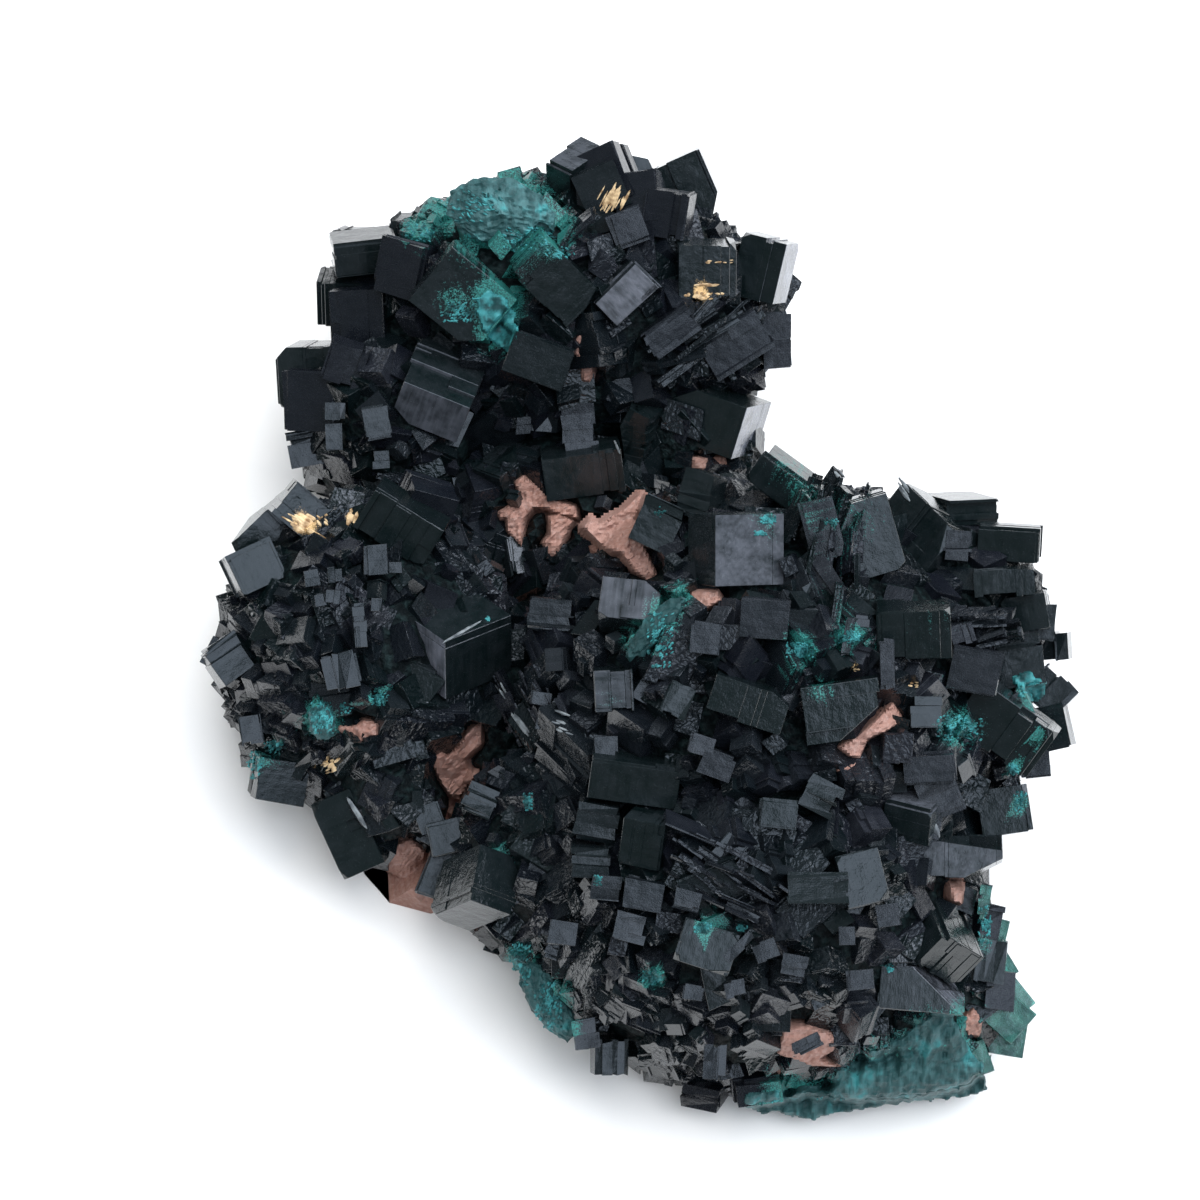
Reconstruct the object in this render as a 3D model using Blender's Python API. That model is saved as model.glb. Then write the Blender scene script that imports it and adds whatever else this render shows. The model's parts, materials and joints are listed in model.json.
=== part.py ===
"""Dioptase specimen: dark green crystals in swelling lobes on pink dolomite, with chrysocolla crusts.

Metres, +Z up. The origin is the middle of the flat underside. Sizes below are in millimetres.
The crystals of the display side are laid out on a drawing sheet of tenths of a millimetre, 1200
units square with its corner at the top left, which is held square to the display viewpoint.
"""
import math
import random

import bmesh
import bpy
from mathutils import Matrix, Vector, noise

MM = 0.001
GAP = 0.3
BASE_CLEARANCE = 0.5

# Display viewpoint: 300 mm from the middle of the specimen and 60 degrees above the table.
VIEW_TARGET = Vector((0.0, 0.0, 17.0))
VIEW_RISE = math.radians(60)
VIEW_DISTANCE = 300.0
VIEW_BACK = Vector((0.0, -math.cos(VIEW_RISE), math.sin(VIEW_RISE)))
VIEW_RIGHT = Vector((1.0, 0.0, 0.0))
VIEW_UP = VIEW_BACK.cross(VIEW_RIGHT)
VIEWPOINT = VIEW_TARGET + VIEW_BACK * VIEW_DISTANCE
SHEET_MIDDLE = 600
SHEET_UNIT = 0.1

# Lobes of the specimen: middle and half-sizes of the ellipsoid through the crystal tips.
LOBES = {
    "dome": (Vector((17, -10.5, 12)), Vector((26.5, 25.5, 24))),
    "dome_skirt": (Vector((15, -29.5, 10)), Vector((23.5, 19.5, 19))),
    "dome_left_foot": (Vector((-2, -24, 8)), Vector((13.5, 13, 14))),
    "right_shoulder": (Vector((35.5, -1, 15)), Vector((9.5, 9, 13))),
    "right_foot": (Vector((31, -39, 7)), Vector((8.5, 8, 10))),
    "crown": (Vector((-4, 37, 13)), Vector((24, 16.5, 17))),
    "ridge": (Vector((-22, 24.5, 9)), Vector((10.5, 9.5, 14))),
    "left": (Vector((-23.5, -1.5, 9)), Vector((16, 18, 16))),
    "left_foot": (Vector((-21, -17, 6)), Vector((6.5, 6.5, 9))),
    "valley": (Vector((-4, 16, 5)), Vector((15, 13, 11))),
    "valley_foot": (Vector((-10, -6, 6)), Vector((7, 11, 11))),
    "neck": (Vector((9, 23.5, 7)), Vector((9, 7, 10))),
}

# Crystals with three faces showing: near corner, then the ends of its three edges, on the sheet.
# The last number is a depth that replaces the length of the third edge, or 0 to keep it.
CORNER_CRYSTALS = {
    "left_lobe_grey_face_crystal": ((445, 642), (386, 601), (513, 615), (446, 700), 0),
    "valley_black_crystal": ((747, 408), (677, 383), (731, 460), (772, 402), 0),
    "right_edge_rhomb_crystal": ((945, 935), (928, 892), (984, 958), (927, 953), 45),
    "right_slope_blue_crystal": ((933, 811), (885, 799), (958, 782), (929, 840), 40),
    "crown_peak_crystal": ((570, 172), (545, 160), (606, 148), (573, 225), 0),
}

# Crystals with one face towards the viewer: middle of that face on the sheet, width, height and
# depth in sheet units, then spin in the sheet, turn (left side shows) and nod (top shows), degrees.
FACE_CRYSTALS = {
    "square_blue_grey_crystal": (750, 550, 76, 72, 65, 0, 26, 3),
    "hexagonal_edge_crystal": (497, 880, 54, 60, 80, -10, 28, -20),
    "valley_pale_crystal": (630, 598, 60, 44, 50, -8, -5, -20),
    "centre_pillar_crystal": (614, 691, 39, 42, 45, 3, 0, 6),
    "shelf_left_crystal": (748, 705, 78, 40, 50, -18, 0, 8),
    "shelf_right_crystal": (842, 712, 84, 58, 50, 8, 0, 5),
    "shelf_top_crystal": (914, 636, 74, 52, 55, 2, 0, 14),
    "olive_crystal": (863, 878, 44, 55, 50, 14, 8, 0),
    "right_low_slab": (956, 855, 92, 46, 60, 0, 0, -4),
    "right_low_block": (1005, 812, 50, 52, 45, 8, 0, 0),
    "foot_grey_slab": (922, 990, 88, 46, 50, -5, 0, 0),
    "foot_green_tip": (1004, 1012, 52, 40, 45, -42, 0, 0),
    "right_cluster_top": (974, 513, 58, 26, 60, -2, 30, 8),
    "right_cluster_second": (1008, 545, 62, 34, 50, -3, -4, 8),
    "right_cluster_third": (1004, 582, 60, 31, 50, 4, 0, 4),
    "right_cluster_fourth": (1024, 614, 47, 37, 50, 9, -5, 4),
    "right_slope_slab": (1003, 730, 92, 56, 50, -36, 0, 12),
    "fan_plate_crystal": (784, 488, 76, 36, 40, -36, 0, 20),
    "fan_block_crystal": (870, 538, 58, 78, 50, 16, 5, 8),
    "parallel_top_crystal": (634, 784, 90, 42, 60, -8, 0, 18),
    "parallel_middle_crystal": (641, 843, 42, 52, 50, -8, -12, 18),
    "centre_low_crystal": (707, 947, 58, 44, 50, -18, 0, 0),
    "left_lobe_dark_crystal": (347, 834, 46, 82, 60, 25, -12, 5),
    "left_lobe_streaked_crystal": (398, 529, 80, 46, 60, -32, 0, 16),
    "left_lobe_round_crystal": (257, 566, 50, 44, 50, 25, 10, 0),
    "left_lobe_shoulder_crystal": (303, 512, 48, 40, 45, -40, 8, 0),
    "crown_grey_slab": (430, 411, 75, 52, 80, -22, 0, 38),
    "crown_coated_crystal": (464, 301, 86, 70, 60, -40, 6, 10),
    "crown_plated_crystal": (557, 284, 78, 50, 60, -45, 14, 5),
    "crown_bright_crystal": (620, 288, 58, 52, 55, 42, -5, -5),
    "crown_right_peak_crystal": (690, 190, 48, 68, 55, 24, -3, 3),
    "crown_right_end_crystal": (758, 269, 46, 64, 55, -13, -14, 5),
    "crown_layered_crystal": (708, 272, 58, 56, 50, 0, 5, 10),
    "crown_west_crystal": (305, 378, 60, 62, 55, 3, -15, 8),
    "crown_west_step_crystal": (341, 306, 50, 50, 45, 1, -8, 26),
    "crown_west_top_crystal": (367, 258, 66, 34, 45, 5, 5, 18),
    "valley_dark_crystal": (584, 476, 80, 46, 60, 8, 0, 14),
    "valley_layered_crystal": (650, 448, 74, 58, 60, -30, 8, 28),
}

# Corners cut from front faces by a second face of the crystal: corner (x, y) and share cut off.
CUT_CORNERS = {
    "valley_pale_crystal": ((1, 1), 0.32),
    "right_low_slab": ((1, -1), 0.42),
    "valley_black_crystal": ((1, -1), 0.28),
    "crown_right_peak_crystal": ((1, -1), 0.3),
    "fan_block_crystal": ((-1, 1), 0.35),
    "crown_grey_slab": ((-1, -1), 0.3),
    "hexagonal_edge_crystal": ((1, 1), 0.3),
    "shelf_right_crystal": ((1, -1), 0.57),
    "crown_coated_crystal": ((1, -1), 0.25),
    "crown_west_crystal": ((-1, 1), 0.2),
    "shelf_left_crystal": ((1, 1), 0.25),
}

# Openings in the beds where the pink rock shows: middle on the sheet, half-width, half-height, spin.
WINDOWS = {
    "valley_ribbon": (548, 497, 32, 13, -40),
    "valley_branch": (522, 520, 18, 20, 0),
    "valley_fork": (568, 540, 26, 16, 0),
    "valley_right": (624, 535, 22, 40, 10),
    "valley_top": (706, 462, 20, 8, 8),
    "crown_slot": (582, 355, 9, 26, 15),
    "left_window": (355, 739, 24, 12, 12),
    "left_star": (452, 785, 26, 20, 20),
    "left_low": (394, 855, 14, 10, 15),
    "right_slope": (868, 736, 40, 15, 38),
    "foot_ring": (806, 1048, 32, 22, -15),
    "foot_drop": (974, 1024, 11, 15, 0),
}

# Chrysocolla crusts: middle on the sheet, half-width, half-height, half-thickness, spin.
CRUSTS = {
    "crust_crown": (502, 214, 62, 40, 22, -12),
    "crust_valley": (655, 628, 44, 15, 14, 48),
    "crust_left_lobe": (322, 722, 17, 22, 14, 10),
    "crust_left_edge": (548, 1000, 48, 22, 20, -58),
    "crust_foot": (900, 1075, 95, 26, 26, 8),
}

# Large crystals of the far sides: lobe, compass bearing and height on it in degrees, width, height,
# depth in millimetres, spin.
FAR_CRYSTALS = {
    "back_crown_crystal": ("crown", 75, 28, 8.0, 6.5, 6.5, 20),
    "back_dome_crystal": ("dome", 42, 34, 8.5, 7.0, 7.0, -15),
    "back_left_crystal": ("left", 140, 32, 7.0, 6.0, 6.0, 35),
}

# Small crystals grown into the bed: how many, edge lengths, least spacing and greatest lean in degrees.
BED_CRYSTALS = 50
BED_CRYSTAL_EDGE = (4.8, 7.8)
BED_CRYSTAL_SPACING = 5.6
BED_CRYSTAL_LEAN = 35
BED_SHARE = 0.93

# Unevenness of the rounded forms, and the half-size in millimetres above which they have more facets.
LUMP_UNEVEN = 0.1
LARGE_LUMP = 23.0

# Rock under the bed: rounded masses cut off flat at the table, and its depth in a window.
ROCK = (
    (Vector((17, -14, 2)), Vector((18, 20, 22))),
    (Vector((14, -32, 2)), Vector((15, 12, 17))),
    (Vector((-4, 38, 2)), Vector((16, 11, 18))),
    (Vector((-23, -2, 2)), Vector((10.5, 12, 15))),
    (Vector((-4, 14, 0)), Vector((15, 20, 9))),
    (Vector((-10, -13, 0)), Vector((14, 13, 7))),
    (Vector((-17, -20, 0)), Vector((7, 6.5, 6))),
)
PAD_DROP = 4.5

# Base colour, roughness and metallic of each material.
MATERIALS = {
    "dioptase": ((0.012, 0.05, 0.048), 0.12, 0.0),
    "dioptase_bed": ((0.02, 0.06, 0.055), 0.25, 0.0),
    "pink_dolomite": ((0.62, 0.33, 0.26), 0.85, 0.0),
    "chrysocolla": ((0.02, 0.36, 0.34), 0.7, 0.0),
}


def sheet_direction(x, y):
    """Direction from the viewpoint through a point of the sheet, one unit deep."""
    scale = SHEET_UNIT / VIEW_DISTANCE
    across = (x - SHEET_MIDDLE) * scale
    up = (SHEET_MIDDLE - y) * scale
    return VIEW_RIGHT * across + VIEW_UP * up - VIEW_BACK


def depth_on_ellipsoid(direction, middle, half):
    """Depth at which a line of sight meets an ellipsoid, or passes nearest to it, and the miss."""
    start = Vector([(VIEWPOINT[i] - middle[i]) / half[i] for i in range(3)])
    along = Vector([direction[i] / half[i] for i in range(3)])
    a = along.dot(along)
    b = start.dot(along)
    c = start.dot(start) - 1
    inside = b * b - a * c
    if inside >= 0:
        return (-b - math.sqrt(inside)) / a, 0.0
    return -b / a, -inside


def depth_on_lobes(x, y):
    """Depth of the first lobe behind a point of the sheet."""
    direction = sheet_direction(x, y)
    found = [depth_on_ellipsoid(direction, *lobe) for lobe in LOBES.values()]
    hits = [depth for depth, miss in found if miss == 0]
    if hits:
        return min(hits)
    return min(found, key=lambda pair: pair[1])[0]


def view_axes(direction):
    """Right, up and towards-the-viewer axes at one line of sight."""
    back = -direction.normalized()
    right = (VIEW_RIGHT - back * VIEW_RIGHT.dot(back)).normalized()
    return right, back.cross(right), back


def at_right_angles(edges):
    """The three edge vectors turned until they are square to one another, lengths kept."""
    for _ in range(40):
        first, second, third = [edge.normalized() for edge in edges]
        turned = (
            first - (second * first.dot(second) + third * first.dot(third)) / 2,
            second - (first * second.dot(first) + third * second.dot(third)) / 2,
            third - (first * third.dot(first) + second * third.dot(second)) / 2,
        )
        edges = [new.normalized() * old.length for new, old in zip(turned, edges)]
    return edges


def corner_box(near, ends, depth):
    """Middle and three full edge vectors of a crystal given by its near corner."""
    flat = [Vector((end[0] - near[0], near[1] - end[1])) for end in ends]
    pairs = [min(flat[i].dot(flat[j]), -1.0) for i, j in ((0, 1), (0, 2), (1, 2))]
    ab, ac, bc = pairs
    falls = (math.sqrt(-ab * ac / bc), math.sqrt(-ab * bc / ac), math.sqrt(-ac * bc / ab))
    mean_x = sum(end[0] for end in ends) / 3
    mean_y = sum(end[1] for end in ends) / 3
    level = depth_on_lobes(mean_x, mean_y) - 2.5
    direction = sheet_direction(*near)
    right, up, back = view_axes(direction)
    unit = SHEET_UNIT * level / VIEW_DISTANCE
    edges = []
    for arm, fall in zip(flat, falls):
        edges.append((right * arm.x + up * arm.y - back * fall) * unit)
    edges = at_right_angles(edges)
    if depth:
        edges[2] = edges[2].normalized() * depth * unit
    corner = VIEWPOINT + direction * level
    return corner + (edges[0] + edges[1] + edges[2]) / 2, edges


def face_box(x, y, width, height, depth, spin, turn, nod):
    """Middle and three full edge vectors of a crystal given by its front face."""
    direction = sheet_direction(x, y)
    level = depth_on_lobes(x, y) - 1.2
    right, up, back = view_axes(direction)
    frame = Matrix((right, up, back)).transposed()
    turned = (
        Matrix.Rotation(math.radians(spin), 3, "Z")
        @ Matrix.Rotation(math.radians(nod), 3, "X")
        @ Matrix.Rotation(math.radians(turn), 3, "Y")
    )
    axes = frame @ turned
    unit = SHEET_UNIT * level / VIEW_DISTANCE
    across = axes.col[0] * width * unit
    along = axes.col[1] * height * unit
    deep = axes.col[2] * depth * unit
    front = VIEWPOINT + direction * level
    return front - deep / 2, [across, along, deep]


def new_object(name, form, collection, material=None):
    """Object holding a bmesh that is in millimetres."""
    bmesh.ops.recalc_face_normals(form, faces=form.faces)
    bmesh.ops.scale(form, vec=(MM, MM, MM), verts=form.verts)
    mesh = bpy.data.meshes.new(name)
    form.to_mesh(mesh)
    form.free()
    made = bpy.data.objects.new(name, mesh)
    collection.objects.link(made)
    if material:
        mesh.materials.append(material)
    return made


def cut(form, point, outward):
    """Cut away what lies beyond a plane and close the cut."""
    everything = form.verts[:] + form.edges[:] + form.faces[:]
    result = bmesh.ops.bisect_plane(
        form, geom=everything, plane_co=point, plane_no=outward, clear_outer=True
    )
    edges = [item for item in result["geom_cut"] if isinstance(item, bmesh.types.BMEdge)]
    if edges:
        bmesh.ops.edgenet_fill(form, edges=edges)


def crystal_form(name, middle, edges):
    """Square-sided crystal with its cut corner, as a bmesh in millimetres."""
    across, along, deep = edges
    form = bmesh.new()
    placed = Matrix((across, along, deep)).transposed().to_4x4()
    placed.translation = middle
    bmesh.ops.create_cube(form, size=1.0, matrix=placed)
    if name in CUT_CORNERS:
        (side, top), share = CUT_CORNERS[name]
        outward = across.normalized() * side / across.length
        outward += along.normalized() * top / along.length
        corner = middle + across * side / 2 + along * top / 2
        inwards = across * side * share / 2 + along * top * share / 2
        cut(form, corner - inwards, outward.normalized())
    bmesh.ops.recalc_face_normals(form, faces=form.faces)
    return form


def kept_apart(form, others):
    """Cut a crystal back where it would run into one that stands in front of it."""
    for other in others:
        if separated(form, other) or separated(other, form):
            continue
        best = None
        for face in other.faces:
            point = face.calc_center_median() + face.normal * GAP
            trial = form.copy()
            cut(trial, point, -face.normal)
            volume = abs(trial.calc_volume()) if trial.faces else 0.0
            trial.free()
            if best is None or volume > best[0]:
                best = (volume, point, -face.normal)
        cut(form, best[1], best[2])
        bmesh.ops.recalc_face_normals(form, faces=form.faces)


def separated(form, other):
    """Whether a face plane of one convex form has all of the other beyond it."""
    for face in form.faces:
        point = face.calc_center_median()
        if all((vert.co - point).dot(face.normal) > GAP * 0.9 for vert in other.verts):
            return True
    return False


def lump(middle, half, seed, grown):
    """Rounded form, a little uneven and grown outwards by a distance, as a bmesh in millimetres."""
    form = bmesh.new()
    subdivisions = 3 if max(half) > LARGE_LUMP else 2
    bmesh.ops.create_icosphere(form, subdivisions=subdivisions, radius=1.0)
    for vert in form.verts:
        swell = 1 + LUMP_UNEVEN * noise.noise(vert.co * 2.3 + Vector((seed, 0, 0)))
        vert.co = middle + Vector([vert.co[i] * (half[i] * swell + grown) for i in range(3)])
    return form


def swollen(form, distance):
    """Move every face of a form outwards by a distance."""
    form.normal_update()
    moves = [vert.normal * distance * vert.calc_shell_factor() for vert in form.verts]
    for vert, move in zip(form.verts, moves):
        if move.length > distance * 2.5:
            move = move.normalized() * distance * 2.5
        vert.co += move


def sheet_lump(x, y, wide, tall, thick, spin, grown, seed):
    """Flattened lump lying on the lobes under a point of the sheet."""
    direction = sheet_direction(x, y)
    right, up, back = view_axes(direction)
    level = depth_on_lobes(x, y)
    form = lump(Vector((0, 0, 0)), Vector((wide, tall, thick)) * SHEET_UNIT, seed, grown)
    frame = Matrix((right, up, back)).transposed() @ Matrix.Rotation(math.radians(spin), 3, "Z")
    place = frame.to_4x4()
    place.translation = VIEWPOINT + direction * level
    bmesh.ops.transform(form, matrix=place, verts=form.verts)
    return form


def sheet_shaft(x, y, wide, tall, spin):
    """Oval shaft along the line of sight, through the bed and into the rock."""
    direction = sheet_direction(x, y)
    right, up, back = view_axes(direction)
    level = depth_on_lobes(x, y)
    form = bmesh.new()
    bmesh.ops.create_cone(
        form, cap_ends=True, segments=8, radius1=SHEET_UNIT, radius2=SHEET_UNIT, depth=1.0
    )
    bmesh.ops.scale(form, vec=(wide, tall, 40.0), verts=form.verts)
    frame = Matrix((right, up, back)).transposed() @ Matrix.Rotation(math.radians(spin), 3, "Z")
    place = frame.to_4x4()
    place.translation = VIEWPOINT + direction * (level - 8.0)
    bmesh.ops.transform(form, matrix=place, verts=form.verts)
    return form


def far_box(lobe, bearing, height, width, tall, depth, spin):
    """Middle and three full edge vectors of a crystal on the far side of a lobe."""
    middle, half = LOBES[lobe]
    east = math.cos(math.radians(height)) * math.cos(math.radians(bearing))
    north = math.cos(math.radians(height)) * math.sin(math.radians(bearing))
    outward = Vector((east, north, math.sin(math.radians(height))))
    tip = Vector([middle[i] + half[i] * outward[i] for i in range(3)])
    normal = Vector([outward[i] / half[i] for i in range(3)]).normalized()
    turned = normal.to_track_quat("Z", "Y").to_matrix() @ Matrix.Rotation(math.radians(spin), 3, "Z")
    across = turned.col[0] * width
    along = turned.col[1] * tall
    deep = turned.col[2] * depth
    return tip - deep * 0.3, [across, along, deep]


def inside_other_lobe(point, own):
    """Whether a point lies inside a lobe other than its own."""
    for name, (middle, half) in LOBES.items():
        share = Vector([(point[i] - middle[i]) / half[i] for i in range(3)])
        if name != own and share.length < 1:
            return True
    return False


def bed_crystals(clear_of):
    """Small square-sided crystals standing through the surface of the bed."""
    taken = list(clear_of)
    names = list(LOBES)
    sizes = [LOBES[name][1].x * LOBES[name][1].y + LOBES[name][1].z ** 2 for name in names]
    found = []
    while len(found) < BED_CRYSTALS:
        lobe = random.choices(names, sizes)[0]
        middle, half = LOBES[lobe]
        outward = Vector([random.gauss(0, 1) for _ in range(3)]).normalized()
        tip = Vector([middle[i] + half[i] * outward[i] for i in range(3)])
        edge = random.uniform(*BED_CRYSTAL_EDGE)
        if tip.z < 5.0 or inside_other_lobe(tip, lobe):
            continue
        if any((tip - point).length < reach + BED_CRYSTAL_SPACING for point, reach in taken):
            continue
        normal = Vector([outward[i] / half[i] for i in range(3)]).normalized()
        lean = math.radians(random.uniform(-BED_CRYSTAL_LEAN, BED_CRYSTAL_LEAN))
        spin = Matrix.Rotation(random.uniform(0, math.tau), 3, "Z")
        turned = normal.to_track_quat("Z", "Y").to_matrix() @ spin @ Matrix.Rotation(lean, 3, "X")
        place = turned.to_4x4()
        place.translation = tip - normal * edge * 0.5
        form = bmesh.new()
        bmesh.ops.create_cube(form, size=edge, matrix=place)
        found.append(form)
        taken.append((tip, 0.0))
    return found


def material(kind, name):
    """Material of one node."""
    colour, roughness, metallic = MATERIALS[kind]
    made = bpy.data.materials.new(name)
    made.use_nodes = True
    shader = made.node_tree.nodes["Principled BSDF"]
    shader.inputs["Base Color"].default_value = (*colour, 1.0)
    shader.inputs["Roughness"].default_value = roughness
    shader.inputs["Metallic"].default_value = metallic
    return made


def cutter(name, form):
    """Helper object that shapes a node and isn't part of the specimen."""
    made = new_object(name, form, cutters)
    made.hide_render = True
    made.display_type = "WIRE"
    return made


def combine(target, operation, tools, name):
    """Exact Boolean of a node with a collection of helpers."""
    group = bpy.data.collections.new(name)
    cutters.children.link(group)
    for tool in tools:
        group.objects.link(tool)
    modifier = target.modifiers.new(name, "BOOLEAN")
    modifier.operation = operation
    modifier.operand_type = "COLLECTION"
    modifier.collection = group
    modifier.solver = "EXACT"


def largest_body(form):
    """Delete every body of a form but the one with the most faces."""
    unseen = set(form.faces)
    bodies = []
    while unseen:
        start = unseen.pop()
        body = {start}
        waiting = [start]
        while waiting:
            for edge in waiting.pop().edges:
                if len(edge.link_faces) > 2:
                    continue
                touching = [face for face in edge.link_faces if face in unseen]
                unseen.difference_update(touching)
                body.update(touching)
                waiting.extend(touching)
        bodies.append(body)
    bodies.sort(key=len)
    smaller = [face for body in bodies[:-1] for face in body]
    bmesh.ops.delete(form, geom=smaller, context="FACES")


def apply_shape(target, floor):
    """Fix a node's evaluated shape as its mesh, cut off flat at a height."""
    graph = bpy.context.evaluated_depsgraph_get()
    shaped = bpy.data.meshes.new_from_object(target.evaluated_get(graph))
    form = bmesh.new()
    form.from_mesh(shaped)
    bmesh.ops.remove_doubles(form, verts=form.verts, dist=0.000001)
    cut(form, Vector((0, 0, floor * MM)), Vector((0, 0, -1)))
    largest_body(form)
    bmesh.ops.recalc_face_normals(form, faces=form.faces)
    bmesh.ops.triangulate(form, faces=form.faces)
    target.modifiers.clear()
    form.to_mesh(target.data)
    form.free()
    bpy.data.meshes.remove(shaped)


def window_pad(x, y, wide, tall):
    """Middle and half-sizes of the rock that comes up under an opening in the bed."""
    top = VIEWPOINT + sheet_direction(x, y) * (depth_on_lobes(x, y) + PAD_DROP)
    reach = (wide + tall) / 2 * SHEET_UNIT + 1.2
    height = max(top.z, reach) / 2
    middle = top - VIEW_BACK * reach * 0.5 - Vector((0, 0, height - reach))
    return middle, Vector((reach, reach, height))


# An empty scene, with one collection for the specimen and one for its hidden cutters.
for existing in list(bpy.data.objects):
    bpy.data.objects.remove(existing)

specimen = bpy.data.collections.new("dioptase_specimen")
cutters = bpy.data.collections.new("cutters")
for collection in (specimen, cutters):
    bpy.context.scene.collection.children.link(collection)
cutters.hide_render = True

random.seed(11)

# Large crystals, nearest first, so that each gives way to the ones in front of it.
placed = []
for name, (near, first, second, third, depth) in CORNER_CRYSTALS.items():
    placed.append((name, *corner_box(near, (first, second, third), depth)))
for name, row in FACE_CRYSTALS.items():
    placed.append((name, *face_box(*row)))

for name, (lobe, bearing, height, width, tall, depth, spin) in FAR_CRYSTALS.items():
    placed.append((name, *far_box(lobe, bearing, height, width, tall, depth, spin)))

forms = {}
for name, middle, edges in placed:
    form = crystal_form(name, middle, edges)
    kept_apart(form, forms.values())
    forms[name] = form

pockets = []
for name, form in forms.items():
    pocket = form.copy()
    swollen(pocket, GAP)
    pockets.append(cutter(name + "_pocket", pocket))
    new_object(name, form, specimen, material("dioptase", name))

# The pink rock: its main masses and a pad under each window.
cores = [(middle, half, number) for number, (middle, half) in enumerate(ROCK)]
for number, (x, y, wide, tall, spin) in enumerate(WINDOWS.values()):
    cores.append((*window_pad(x, y, wide, tall), 20 + number))
rock = new_object("matrix", lump(*cores[0], 0.0), specimen, material("pink_dolomite", "matrix"))
rest = [cutter(f"core_{number}", lump(*core, 0.0)) for number, core in enumerate(cores[1:], 1)]
core_rooms = [cutter(f"core_room_{number}", lump(*core, GAP)) for number, core in enumerate(cores)]
combine(rock, "UNION", rest, "cores")
combine(rock, "DIFFERENCE", pockets, "crystal_roots")
apply_shape(rock, 0.0)

# Chrysocolla crusts over the crystals, each fitted round the large crystals it reaches.
crusts = []
crust_rooms = []
for number, (name, (x, y, wide, tall, thick, spin)) in enumerate(CRUSTS.items()):
    for grown, kept in ((0.0, True), (GAP, False)):
        form = sheet_lump(x, y, wide, tall, thick, spin, grown, 40 + number)
        if kept:
            crust = new_object(name, form, specimen, material("chrysocolla", name))
            combine(crust, "DIFFERENCE", [*pockets, *core_rooms], name + "_fit")
            crusts.append(crust)
        else:
            crust_rooms.append(cutter(name + "_room", form))
for crust in crusts:
    apply_shape(crust, BASE_CLEARANCE)

# The bed: small crystals grown into one another over the rock, open at the windows.
windows = [cutter(name + "_window", sheet_shaft(*row)) for name, row in WINDOWS.items()]
growth = []
for number, (middle, half) in enumerate(LOBES.values()):
    growth.append(lump(middle, half * BED_SHARE, 60 + number, 0.0))
reaches = [(middle, max(edge.length for edge in edges) / 2) for _, middle, edges in placed]
growth += bed_crystals(reaches)
bed = new_object("druse", growth[0], specimen, material("dioptase_bed", "druse"))
others = [cutter(f"growth_{number}", form) for number, form in enumerate(growth[1:], 1)]
combine(bed, "UNION", others, "growth")
combine(bed, "DIFFERENCE", core_rooms, "rock_inside")
combine(bed, "DIFFERENCE", [*pockets, *crust_rooms, *windows], "rooms")
apply_shape(bed, BASE_CLEARANCE)
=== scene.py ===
"""Dioptase specimen on a white table: block-shaped dark crystals grown over pink dolomite."""
import itertools
import json
import math
import random

import bmesh
import bpy
import numpy as np
from mathutils import Matrix, Vector, noise
from mathutils.bvhtree import BVHTree

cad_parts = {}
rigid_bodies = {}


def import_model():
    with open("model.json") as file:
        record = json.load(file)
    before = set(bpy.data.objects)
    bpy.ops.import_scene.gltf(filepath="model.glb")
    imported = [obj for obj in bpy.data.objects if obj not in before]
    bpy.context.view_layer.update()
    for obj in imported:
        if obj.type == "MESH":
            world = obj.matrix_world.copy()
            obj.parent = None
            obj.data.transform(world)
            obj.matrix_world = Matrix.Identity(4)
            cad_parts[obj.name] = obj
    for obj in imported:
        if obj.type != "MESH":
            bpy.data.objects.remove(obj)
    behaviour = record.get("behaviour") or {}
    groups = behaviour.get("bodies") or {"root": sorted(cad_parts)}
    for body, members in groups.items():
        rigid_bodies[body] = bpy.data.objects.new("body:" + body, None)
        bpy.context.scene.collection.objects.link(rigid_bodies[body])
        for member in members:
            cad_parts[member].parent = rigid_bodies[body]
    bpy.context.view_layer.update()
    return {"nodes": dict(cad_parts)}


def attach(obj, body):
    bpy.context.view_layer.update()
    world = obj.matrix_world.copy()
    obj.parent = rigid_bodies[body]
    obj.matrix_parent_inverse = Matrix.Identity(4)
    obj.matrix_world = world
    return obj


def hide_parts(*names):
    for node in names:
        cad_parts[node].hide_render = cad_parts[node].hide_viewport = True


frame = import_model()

# ---------------------------------------------------------------------------------------------
# The display viewpoint. The specimen is looked at from 300 mm away, 60 degrees above the table.
# The crystals of the display side are laid out on a sheet of tenths of a millimetre, 1200 units
# square with its corner at the top left, held square to this viewpoint.
MM = 0.001
SHEET_MIDDLE = 600
VIEW_TARGET = Vector((0.0, 0.0, 17.0))
VIEW_BACK = Vector((0.0, -math.cos(math.radians(60)), math.sin(math.radians(60))))
VIEW_RIGHT = Vector((1.0, 0.0, 0.0))
VIEW_UP = VIEW_BACK.cross(VIEW_RIGHT)
VIEW_DISTANCE = 300.0
VIEWPOINT = VIEW_TARGET + VIEW_BACK * VIEW_DISTANCE
SHEET_UNIT = 0.1 / VIEW_DISTANCE

camera = bpy.data.objects.new("display_camera", bpy.data.cameras.new("display_camera"))
camera.data.sensor_width = 36.0
camera.data.lens = 90.0
camera.data.clip_start = 0.01
camera.data.clip_end = 20.0
camera.matrix_world = Matrix.LocRotScale(
    VIEWPOINT * MM, VIEW_BACK.to_track_quat("Z", "Y"), None
)
bpy.context.scene.collection.objects.link(camera)
bpy.context.scene.camera = camera

# ---------------------------------------------------------------------------------------------
# The white table and the light on it: two broad lights that the crystals' faces do not mirror,
# three smaller windows that they do mirror, and a dim room all round.


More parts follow.
